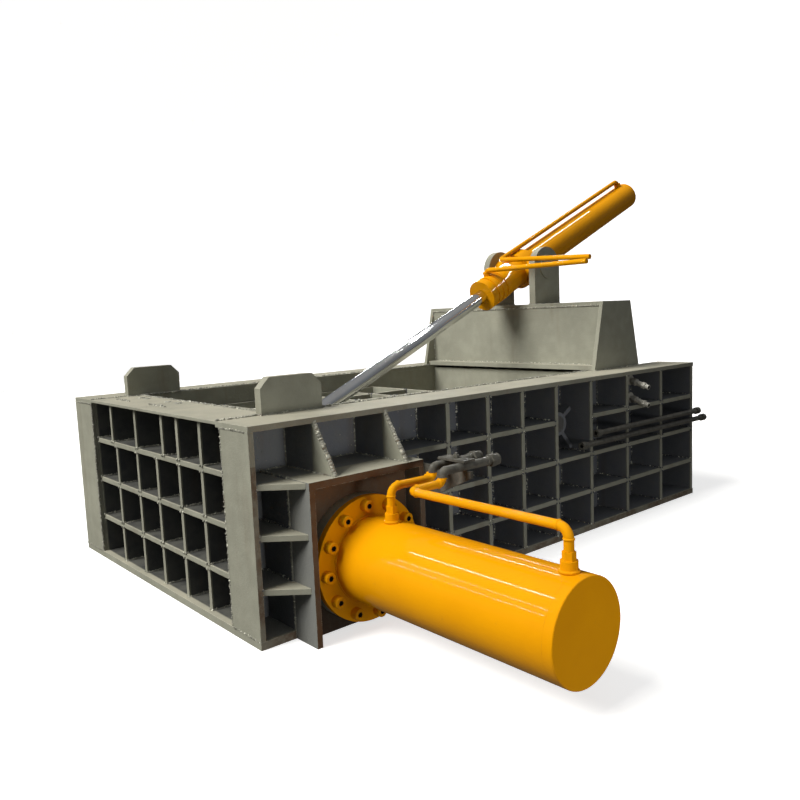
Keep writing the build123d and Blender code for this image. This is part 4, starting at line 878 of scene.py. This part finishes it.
def mount_seams():
    """Where the gussets stand on the mount's shelf and where the shelf meets the box."""
    shelf_low, shelf_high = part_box("side_mount_frame")
    inset = bpy.context.scene.press_sizes.rope_bead
    lines = []
    for low, high in solids("side_mount_gussets"):
        lines += [crosswise(x, low[Z], low[Y], high[Y]) for x in (low[X], high[X])]
        lines += [upright(x, high[Y], low[Z], high[Z]) for x in (low[X], high[X])]
    lines.append(lengthwise(shelf_high[Y], shelf_high[Z], shelf_low[X], shelf_high[X]))
    for x in (shelf_low[X], shelf_high[X]):
        lines.append(crosswise(x, shelf_high[Z], -SIDE_EDGE, -WALL))
        lines.append(upright(x, -RIB_EDGE, shelf_low[Z] + inset, shelf_high[Z]))
    return lines


def lay(name, lines, body, bead, finish, rough, detail):
    """Lays weld metal along lines, as one piece on one body."""
    sizes = bpy.context.scene.press_sizes
    piece = grow(name, group(weld_tree), line_mesh(name, lines),
                 Pitch=sizes.bead_pitch * bead / sizes.cell_bead, Bead=(bead * 0.9, bead, bead),
                 Least=(1 - rough,) * 3, Most=(1 + rough,) * 3,
                 Stray=(bead * rough * 0.6,) * 3, Seed=sizes.seed, Detail=detail, Finish=material(finish))
    settle(piece, body, "grey_paint")


def ring_radius(radius, angle, hexagonal):
    """Radius of a turned or a six-sided section at an angle; a six-sided one is named by its half width."""
    if not hexagonal:
        return radius
    return radius / math.cos((angle % HEX_TURN) - HEX_TURN / 2)


def turned(rows, foot, axis, steps=24):
    """Points and faces of a shape turned about an axis from rows of radius, height and six-sided or not."""
    spin = Vector(axis).normalized().to_track_quat("Z", "Y")
    points = []
    faces = []
    for radius, height, hexagonal in rows:
        for step in range(steps):
            angle = math.tau * step / steps
            reach = ring_radius(radius, angle, hexagonal)
            point = Vector((reach * math.cos(angle), reach * math.sin(angle), height))
            points.append(Vector(foot) + spin @ point)
    for row in range(len(rows) - 1):
        for step in range(steps):
            here = row * steps + step
            beside = row * steps + (step + 1) % steps
            faces.append((here, beside, beside + steps, here + steps))
    faces.append(tuple(reversed(range(steps))))
    faces.append(tuple(range((len(rows) - 1) * steps, len(rows) * steps)))
    return points, faces


def shape_mesh(name, shapes, finishes):
    """One mesh of several shapes; each shape comes with True where it takes the second finish."""
    points = []
    faces = []
    second = []
    for (shape_points, shape_faces), other in shapes:
        start = len(points)
        points += shape_points
        faces += [tuple(start + index for index in face) for face in shape_faces]
        second += [other] * len(shape_faces)
    mesh = bpy.data.meshes.new(name)
    mesh.from_pydata(points, [], faces)
    for finish in finishes:
        mesh.materials.append(material(finish))
    mesh.polygons.foreach_set("material_index", [int(other) for other in second])
    mesh.attributes.new(SECOND, "BOOLEAN", "FACE").data.foreach_set("value", second)
    mesh.update()
    return mesh


def soften(piece, width, angle=math.radians(35)):
    """Rounds the sharp edges of a small piece and shades it smooth."""
    bevel = piece.modifiers.new("soften", "BEVEL")
    bevel.width = width
    bevel.segments = 2
    bevel.angle_limit = angle
    graph = bpy.context.evaluated_depsgraph_get()
    piece.data = bpy.data.meshes.new_from_object(piece.evaluated_get(graph))
    piece.modifiers.clear()
    piece.data.shade_smooth()
    piece.data.set_sharp_from_angle(angle=angle)


class PRESS_OT_coat(bpy.types.Operator):
    """Give every CAD piece its paint, enamel or bare steel."""

    bl_idname = "press.coat"
    bl_label = "Coat the press"

    def execute(self, context):
        for make, nodes in COATED.items():
            for node in nodes:
                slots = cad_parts[node].data.materials
                slots.clear()
                slots.append(material(make))
        return {"FINISHED"}


class PRESS_OT_cell_welds(bpy.types.Operator):
    """Weld the ribs and shelves of both sides, the front end and the lid."""

    bl_idname = "press.cell_welds"
    bl_label = "Weld the cells"

    def execute(self, context):
        bead = context.scene.press_sizes.cell_bead
        lay("near_cell_welds", rib_seams("near_side_ribs", Y), "frame", bead, cell_weld, 0.3, 1)
        lay("far_cell_welds", rib_seams("far_side_ribs", Y), "frame", bead, cell_weld, 0.3, 1)
        lay("front_cell_welds", rib_seams("front_ribs", X), "frame", bead, weld_bead, 0.3, 1)
        lay("lid_cell_welds", rib_seams("lid_ribs", Z), "lid", bead, cell_weld, 0.3, 1)
        return {"FINISHED"}


class PRESS_OT_heavy_welds(bpy.types.Operator):
    """Weld the posts, flanges, lugs, bridge, stands and gussets with heavier beads."""

    bl_idname = "press.heavy_welds"
    bl_label = "Weld the heavy seams"

    def execute(self, context):
        sizes = context.scene.press_sizes
        lay("post_welds", post_seams() + top_seams(), "frame", sizes.heavy_bead, weld_bead, 0.45, 2)
        lay("bridge_welds", bridge_seams(), "frame", sizes.heavy_bead, weld_bead, 0.35, 2)
        lay("mount_welds", mount_seams(), "frame", sizes.heavy_bead, weld_bead, 0.35, 2)
        lay("gusset_welds", gusset_seams(), "frame", sizes.rope_bead, weld_bead, 0.25, 2)
        self.plugs(sizes.plug)
        return {"FINISHED"}

    def plugs(self, radius):
        """Sets a row of flat plug welds on the front top plate."""
        low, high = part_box("front_top_plate")
        rows = [(radius, 0, False), (radius * 0.86, radius * 0.15, False),
                (radius * 0.3, radius * 0.21, False)]
        shape = turned(rows, (0, 0, 0), (0, 0, 1))
        dome = put("plug_shape", shape_mesh("plug_shape", [(shape, False)], [weld_bead]))
        row = low[X] + PLUG_ROW_SHARE * (high[X] - low[X])
        seats = bpy.data.meshes.new("plug_seats")
        seats.from_pydata([(row, share * high[Y], high[Z]) for share in PLUG_SHARES], [], [])
        piece = grow("plug_welds", group(repeat_tree), seats, Shape=dome, Finish=material(weld_bead))
        bpy.data.objects.remove(dome)
        settle(piece, "frame", "grey_paint")


class PRESS_OT_flange_bolts(bpy.types.Operator):
    """Set socket-head bolts round the flanges of the two rams."""

    bl_idname = "press.flange_bolts"
    bl_label = "Fit the flange bolts"

    def execute(self, context):
        sizes = context.scene.press_sizes
        self.fit(sizes, "side_flange_bolts", "side_cylinder_flange", Y, -1)
        self.fit(sizes, "main_flange_bolts", "main_cylinder_flange", X, 1)
        return {"FINISHED"}

    def fit(self, sizes, node, flange, axis, way):
        """Replaces the bolts of one flange, each head in its CAD place."""
        boxes = solids(node)
        seat = max(way * corner[axis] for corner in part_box(flange))
        height = max(way * corner[axis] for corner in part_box(node)) - seat
        radius = (boxes[0][1][Z] - boxes[0][0][Z]) / 2
        bolt = put(node + "_shape", self.head(sizes, radius, height, with_part((0, 0, 0), axis, way)))
        seats = bpy.data.meshes.new(node + "_seats")
        seats.from_pydata([with_part((low + high) / 2, axis, way * seat) for low, high in boxes], [], [])
        piece = grow(node.replace("bolts", "bolt_heads"), group(repeat_tree), seats, **{
            "Shape": bolt, "Finish": material(yellow_enamel), "Second finish": material(socket_black)})
        bpy.data.objects.remove(bolt)
        settle(piece, "frame", "yellow_paint", node)

    def head(self, sizes, radius, height, forward):
        """A chamfered round head with a six-sided socket, whose walls and floor are dark with painted shade.
        """
        half = sizes.bolt_socket / 2
        rim = height - sizes.bolt_chamfer / 2
        outside = [(radius, 0, False), (radius, height - sizes.bolt_chamfer, False),
                   (radius - sizes.bolt_chamfer, height, False),
                   (half + sizes.bolt_chamfer / 2, height, True), (half, rim, True)]
        floor = height - sizes.socket_depth
        inside = [(half, rim, True), (half, floor, True), (half / 4, floor - half / 3, False)]
        points, faces = turned(outside, (0, 0, 0), forward)
        cup_points, cup_faces = turned(inside, (0, 0, 0), forward)
        shapes = [((points, faces[:-1]), False), ((cup_points, cup_faces[:-2] + cup_faces[-1:]), True)]
        return shape_mesh("bolt_head", shapes, [yellow_enamel, socket_black])


class PRESS_OT_fittings(bpy.types.Operator):
    """Turn the two plated fittings on the near wall: hexagons, disc, thread and hose tail."""

    bl_idname = "press.fittings"
    bl_label = "Fit the wall fittings"

    def execute(self, context):
        sizes = context.scene.press_sizes
        shapes = []
        for low, high in solids("wall_fittings"):
            disc = (high[X] - low[X]) / 2
            foot = Vector(((low[X] + high[X]) / 2, high[Y], high[Z] - disc))
            shapes += self.fitting(sizes, foot, disc)
        mesh = shape_mesh("plated_wall_fittings", shapes, [plated_fitting, socket_black])
        piece = put("plated_wall_fittings", mesh)
        soften(piece, 0.0012)
        settle(piece, "frame", "bright_fitting", "wall_fittings")
        return {"FINISHED"}

    def fitting(self, sizes, foot, disc):
        """The neck with its hexagon and disc, then the drooping tail with two nuts, thread and open end, its
        bore dark with painted shade.
        """
        out = Vector((0, -1, 0))
        length = sizes.neck_length
        edge = length + sizes.disc_depth
        neck = [(disc * 0.8, 0, True), (disc * 0.8, length * 0.2, True), (disc * 0.62, length * 0.22, False),
                (disc * 0.62, length * 0.72, False), (disc * 0.74, length * 0.74, True),
                (disc * 0.74, length, True), (disc * 0.9, length, False), (disc, length + disc * 0.1, False),
                (disc, edge - disc * 0.1, False), (disc * 0.9, edge, False), (disc * 0.6, edge, False)]
        droop = Vector((0, -sizes.tail_reach, -sizes.tail_drop))
        start = foot + out * (edge - sizes.disc_depth / 3)
        reach = droop.length + sizes.disc_depth / 3
        stem = disc * 0.42
        tail = [(stem, 0, False), (stem, reach * 0.14, False), (disc * 0.6, reach * 0.15, True),
                (disc * 0.6, reach * 0.36, True), (stem, reach * 0.38, False)]
        for turn in range(8):
            level = reach * (0.39 + 0.032 * turn)
            tail += [(stem, level, False), (stem * 1.16, level + reach * 0.010, False),
                     (stem * 1.16, level + reach * 0.018, False), (stem, level + reach * 0.028, False)]
        tail += [(disc * 0.54, reach * 0.66, True), (disc * 0.54, reach * 0.82, True),
                 (stem, reach * 0.83, False), (stem, reach * 0.95, False),
                 (stem * 1.1, reach * 0.97, False), (stem * 1.1, reach, False),
                 (stem * 0.7, reach, False)]
        bore = [(stem * 0.7, reach, False), (stem * 0.7, reach * 0.85, False),
                (stem * 0.2, reach * 0.84, False)]
        tail_points, tail_faces = turned(tail, start, droop)
        bore_points, bore_faces = turned(bore, start, droop)
        return [(turned(neck, foot, out), False), ((tail_points, tail_faces[:-1]), False),
                ((bore_points, bore_faces[:-2] + bore_faces[-1:]), True)]


class PRESS_OT_pipe_joints(bpy.types.Operator):
    """Weld collars round the yellow pipes' elbows, and union nuts on the grey pipes' ends."""

    bl_idname = "press.pipe_joints"
    bl_label = "Join the pipes"

    def execute(self, context):
        sizes = context.scene.press_sizes
        along, across, up = Vector((1, 0, 0)), Vector((0, 1, 0)), Vector((0, 0, 1))
        shapes = []
        for (low, high), (port_low, port_high) in zip(solids("side_pipes"), solids("side_port_fittings")):
            level = high[Z] - sizes.elbow_rise
            port = (port_low + port_high) / 2
            tip = Vector((high[X] - sizes.pipe_radius, 0, level))
            turn = port[Y] if high[Y] - low[Y] < sizes.pipe_bend * 2 else high[Y] - sizes.pipe_radius
            spots = [(with_part(port, Z, level - sizes.pipe_bend), up),
                     (Vector((port[X] + sizes.pipe_bend, turn, level)), along),
                     (Vector((tip[X] - sizes.elbow_bend, turn, level)), along),
                     (Vector((tip[X], turn, level + sizes.elbow_bend * 0.8)), up)]
            if turn != port[Y]:
                spots += [(with_part(Vector((port[X], 0, level)), Y, port[Y] + sizes.pipe_bend), across),
                          (with_part(Vector((port[X], 0, level)), Y, turn - sizes.pipe_bend), across)]
            shapes += [(turned(self.collar(sizes), spot, way), False) for spot, way in spots]
        piece = put("pipe_collars", shape_mesh("pipe_collars", shapes, [yellow_enamel]))
        soften(piece, 0.001)
        settle(piece, "frame", "yellow_paint")
        shapes = []
        for low, high in solids("wall_pipes"):
            end = Vector((high[X], (low[Y] + high[Y]) / 2, high[Z] - (high[Y] - low[Y]) / 2))
            shapes += self.union(sizes, end - sizes.sleeve * along, along, sizes.sleeve)
        piece = put("pipe_unions", shape_mesh("pipe_unions", shapes, [dark_pipe, socket_black]))
        soften(piece, 0.001)
        settle(piece, "frame", "pipe_steel")
        return {"FINISHED"}

    def collar(self, sizes):
        """Rows of a rounded weld collar."""
        inner, outer, half = sizes.pipe_radius * 0.96, sizes.pipe_radius + sizes.collar, sizes.collar * 1.6
        return [(inner, -half, False), (outer - sizes.collar * 0.4, -half * 0.6, False), (outer, 0, False),
                (outer - sizes.collar * 0.4, half * 0.6, False), (inner, half, False)]

    def union(self, sizes, foot, way, length):
        """A union nut round a pipe's sleeve, the ring before it and the sleeve's open end, dark with painted
        shade.
        """
        half = sizes.union_half
        nut = [(half * 0.7, -half * 0.4, False), (half * 0.98, -half * 0.35, True),
               (half, -half * 0.25, True), (half, half * 0.75, True),
               (half * 0.98, half * 0.85, True), (half * 0.8, half * 0.9, False)]
        ring = [(half * 0.7, -half * 1.2, False), (half * 0.86, -half * 1.15, False),
                (half * 0.86, -half * 0.8, False), (half * 0.7, -half * 0.75, False)]
        bore = [(half * 0.62, length + 0.0004, False), (half * 0.3, length + 0.0004, False)]
        bore_points, bore_faces = turned(bore, foot, way)
        return [(turned(nut, foot, way), False), (turned(ring, foot, way), False),
                ((bore_points, bore_faces[:-2] + bore_faces[-1:]), True)]


class PRESS_OT_yellow_welds(bpy.types.Operator):
    """Weld the flanges to their barrels and the ports to the side barrel, under the same enamel."""

    bl_idname = "press.yellow_welds"
    bl_label = "Weld the cylinders"

    def execute(self, context):
        bead = context.scene.press_sizes.heavy_bead
        low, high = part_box("side_cylinder_barrel")
        axis = Vector(((low[X] + high[X]) / 2, 0, (low[Z] + high[Z]) / 2))
        radius = (high[X] - low[X]) / 2
        rings = [ring_lines(with_part(axis, Y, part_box("side_cylinder_flange")[0][Y]), Y, radius)]
        low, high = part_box("main_cylinder_barrel")
        axis = Vector((0, (low[Y] + high[Y]) / 2, (low[Z] + high[Z]) / 2))
        rings.append(ring_lines(with_part(axis, X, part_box("main_cylinder_flange")[1][X]), X, radius))
        for low, high in solids("side_port_fittings"):
            centre = (low + high) / 2
            rings.append(ring_lines(with_part(centre, Z, low[Z] + bead), Z, (high[X] - low[X]) / 2))
        lay("ram_welds", [line for ring in rings for line in ring], "frame", bead, yellow_enamel, 0.18, 2)
        return {"FINISHED"}


class PRESS_OT_spatter(bpy.types.Operator):
    """Strew weld spatter over the near wall and the front wall."""

    bl_idname = "press.spatter"
    bl_label = "Strew the spatter"

    def execute(self, context):
        sizes = context.scene.press_sizes
        low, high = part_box("near_wall_plate")
        front_low, front_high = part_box("front_wall_plate")
        mesh = bpy.data.meshes.new("spatter_walls")
        corners = [(low[X], low[Y], low[Z]), (high[X], low[Y], low[Z]),
                   (high[X], low[Y], high[Z]), (low[X], low[Y], high[Z]),
                   (front_low[X], front_high[Y], front_low[Z]), (front_low[X], front_low[Y], front_low[Z]),
                   (front_low[X], front_low[Y], front_high[Z]), (front_low[X], front_high[Y], front_high[Z])]
        mesh.from_pydata(corners, [], [(0, 1, 2, 3), (4, 5, 6, 7)])
        piece = grow("weld_spatter", group(spatter_tree), mesh, Density=SPATTER_DENSITY, Speck=sizes.spatter,
                     Seed=sizes.seed, Finish=material(weld_bead))
        settle(piece, "frame", "grey_paint")
        return {"FINISHED"}


class PRESS_OT_stage(bpy.types.Operator):
    """Set the pale floor, the soft light and the camera."""

    bl_idname = "press.stage"
    bl_label = "Set the stage"

    def execute(self, context):
        stage = context.scene.press_stage
        self.floor(stage)
        self.light(context, stage)
        self.camera(context, stage)
        return {"FINISHED"}

    def floor(self, stage):
        """A round pale floor and a white dome over it, which neither shades nor lights the press."""
        rows = [(stage.reach, 0, False), (stage.reach / 2, 0, False)]
        points, faces = turned(rows, (0, 0, 0), (0, 0, 1), STAGE_STEPS)
        floor = self.surface("floor", points, faces[:STAGE_STEPS] + faces[-1:], floor_white(stage))
        floor.visible_diffuse = False
        floor.visible_glossy = False
        turns = [DOME_STEP * step for step in range(DOME_ROWS)]
        rows = [(stage.reach * math.cos(turn), stage.reach * math.sin(turn), False) for turn in turns]
        points, faces = turned(rows, (0, 0, 0), (0, 0, 1), STAGE_STEPS)
        inward = [tuple(reversed(face)) for face in faces[:-2]]
        dome = self.surface("backdrop", points, inward, backdrop_white(stage))
        dome.visible_shadow = False
        dome.visible_diffuse = False
        dome.visible_glossy = False

    def surface(self, name, points, faces, finish):
        """One surface of the stage."""
        mesh = bpy.data.meshes.new(name)
        mesh.from_pydata(points, [], faces)
        mesh.materials.append(finish)
        mesh.shade_smooth()
        piece = put(name, mesh)
        return piece

    def light(self, context, stage):
        """A broad key light from the front end, a low fill, strips along the cylinders and an even sky."""
        turn = Vector(stage.key_way).to_track_quat("-Z", "Y").to_matrix()
        key = self.lamp(context, "key_light", "SUN", stage.key_light, turn, (0, 0, 0))
        key.data.angle = stage.key_softness
        key.data.color = KEY_TINT
        key.visible_glossy = False
        turn = Vector((0, 1, 0)).to_track_quat("-Z", "Y").to_matrix()
        fill = self.lamp(context, "fill_light", "AREA", stage.fill_light, turn, stage.fill_place)
        fill.data.shape = "DISK"
        fill.data.size = FILL_SIZE
        fill.data.spread = FILL_SPREAD
        fill.visible_glossy = False
        self.streaks(context, stage)
        self.sky(context, stage)

    def lamp(self, context, name, kind, strength, turn, place):
        """One light, turned and set in its place."""
        light = bpy.data.lights.new(name, kind)
        light.energy = strength
        lamp = bpy.data.objects.new(name, light)
        lamp.matrix_world = Matrix.Translation(Vector(place)) @ turn.to_4x4()
        lamp.visible_camera = False
        context.scene.collection.objects.link(lamp)
        return lamp

    def streaks(self, context, stage):
        """Strip lights whose mirror images lie along the two yellow cylinders."""
        low, high = (Vector(corner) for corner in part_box("side_cylinder_barrel"))
        radius = (high[X] - low[X]) / 2
        for angle, width in zip(stage.side_streaks, stage.side_widths):
            normal = Vector((math.cos(angle), 0, math.sin(angle)))
            point = (low + high) / 2 + radius * normal
            self.strip(context, stage, point, normal, Vector((0, 1, 0)), high[Y] - low[Y], width)
        pin, trunnion = (sum((Vector(corner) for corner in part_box(node)), Vector()) / 2
                         for node in ("lid_rod_pin", "lid_cylinder_trunnion"))
        along = (trunnion - pin).normalized()
        normal = Vector((-along.z * math.sin(stage.lid_streak), math.cos(stage.lid_streak),
                         along.x * math.sin(stage.lid_streak)))
        point = trunnion + LID_STRIP_PLACE * along
        self.strip(context, stage, point, normal, along, LID_STRIP_LENGTH, stage.lid_width)

    def strip(self, context, stage, point, normal, along, length, width):
        """A long thin light that shows from the camera as a streak through one point of a cylinder."""
        sight = Vector(stage.camera_place) - point
        bounce = (2 * normal.dot(sight) * normal - sight).normalized()
        facing = (bounce - bounce.dot(along) * along).normalized()
        turn = Matrix((along, facing.cross(along), facing)).transposed()
        length *= 1 + stage.strip_reach / sight.length
        strength = stage.strip_light * length * width
        lamp = self.lamp(context, "strip_light", "AREA", strength, turn, point + stage.strip_reach * bounce)
        lamp.data.shape = "RECTANGLE"
        lamp.data.size = length
        lamp.data.size_y = width
        lamp.visible_diffuse = False

    def sky(self, context, stage):
        """Even light all round, brightest overhead, with a little thrown back up by the floor."""
        world = bpy.data.worlds.new("sky")
        world.use_nodes = True
        sky = Nodes(world.node_tree)
        height = sky.part(sky.node("ShaderNodeTexCoord", output="Generated"), Z)
        colour = sky.blend(sky.ramp(height, -0.95, -0.3), (0.85, 0.80, 0.68), (0.22, 0.21, 0.19))
        colour = sky.blend(sky.ramp(height, -0.1, 0.15), colour, (0.55, 0.58, 0.62))
        colour = sky.blend(sky.ramp(height, 0.3, 0.95), colour, (1.0, 1.0, 1.0))
        back = world.node_tree.nodes["Background"]
        sky.feed(back.inputs["Color"], colour)
        sky.feed(back.inputs["Strength"], stage.sky_light)
        context.scene.world = world
        context.scene.view_settings.view_transform = "Standard"

    def camera(self, context, stage):
        """The camera where the photograph was taken from."""
        turn, rise = stage.azimuth, stage.elevation
        back = Vector((math.sin(turn) * math.cos(rise), -math.cos(turn) * math.cos(rise), math.sin(rise)))
        right = (-back).cross(Vector((0, 0, 1))).normalized()
        down = (-back).cross(right)
        across = math.cos(stage.roll) * right + math.sin(stage.roll) * down
        fall = math.cos(stage.roll) * down - math.sin(stage.roll) * right
        lens = bpy.data.cameras.new("camera")
        lens.lens = stage.lens
        lens.sensor_width = 36
        camera = bpy.data.objects.new("camera", lens)
        turned_to = Matrix((across, -fall, back)).transposed()
        camera.matrix_world = Matrix.Translation(Vector(stage.camera_place)) @ turned_to.to_4x4()
        context.scene.collection.objects.link(camera)
        context.scene.camera = camera


STEPS = (PRESS_OT_coat, PRESS_OT_cell_welds, PRESS_OT_heavy_welds, PRESS_OT_yellow_welds,
         PRESS_OT_flange_bolts, PRESS_OT_fittings, PRESS_OT_pipe_joints, PRESS_OT_spatter, PRESS_OT_stage)


class PRESS_PT_panel(bpy.types.Panel):
    """Lists the sizes, colours and steps of the press."""

    bl_idname = "PRESS_PT_panel"
    bl_label = "Scrap car press"
    bl_space_type = "VIEW_3D"
    bl_region_type = "UI"
    bl_category = "Press"

    def draw(self, context):
        for settings in (context.scene.press_finishes, context.scene.press_sizes, context.scene.press_stage):
            for name in settings.bl_rna.properties.keys():
                if name not in ("rna_type", "name"):
                    self.layout.prop(settings, name)
        for step in STEPS:
            self.layout.operator(step.bl_idname)


SETTINGS = {"press_finishes": PressFinishes, "press_sizes": PressSizes, "press_stage": PressStage}


def register():
    for kind in (*SETTINGS.values(), *STEPS, PRESS_PT_panel):
        bpy.utils.register_class(kind)
    for name, kind in SETTINGS.items():
        setattr(bpy.types.Scene, name, PointerProperty(type=kind))


def unregister():
    for name in SETTINGS:
        delattr(bpy.types.Scene, name)
    for kind in (PRESS_PT_panel, *reversed(STEPS), *reversed(SETTINGS.values())):
        bpy.utils.unregister_class(kind)


def main():
    register()
    bpy.ops.press.coat()
    bpy.ops.press.cell_welds()
    bpy.ops.press.heavy_welds()
    bpy.ops.press.yellow_welds()
    bpy.ops.press.flange_bolts()
    bpy.ops.press.fittings()
    bpy.ops.press.pipe_joints()
    bpy.ops.press.spatter()
    bpy.ops.press.stage()


if __name__ == "__main__":
    main()
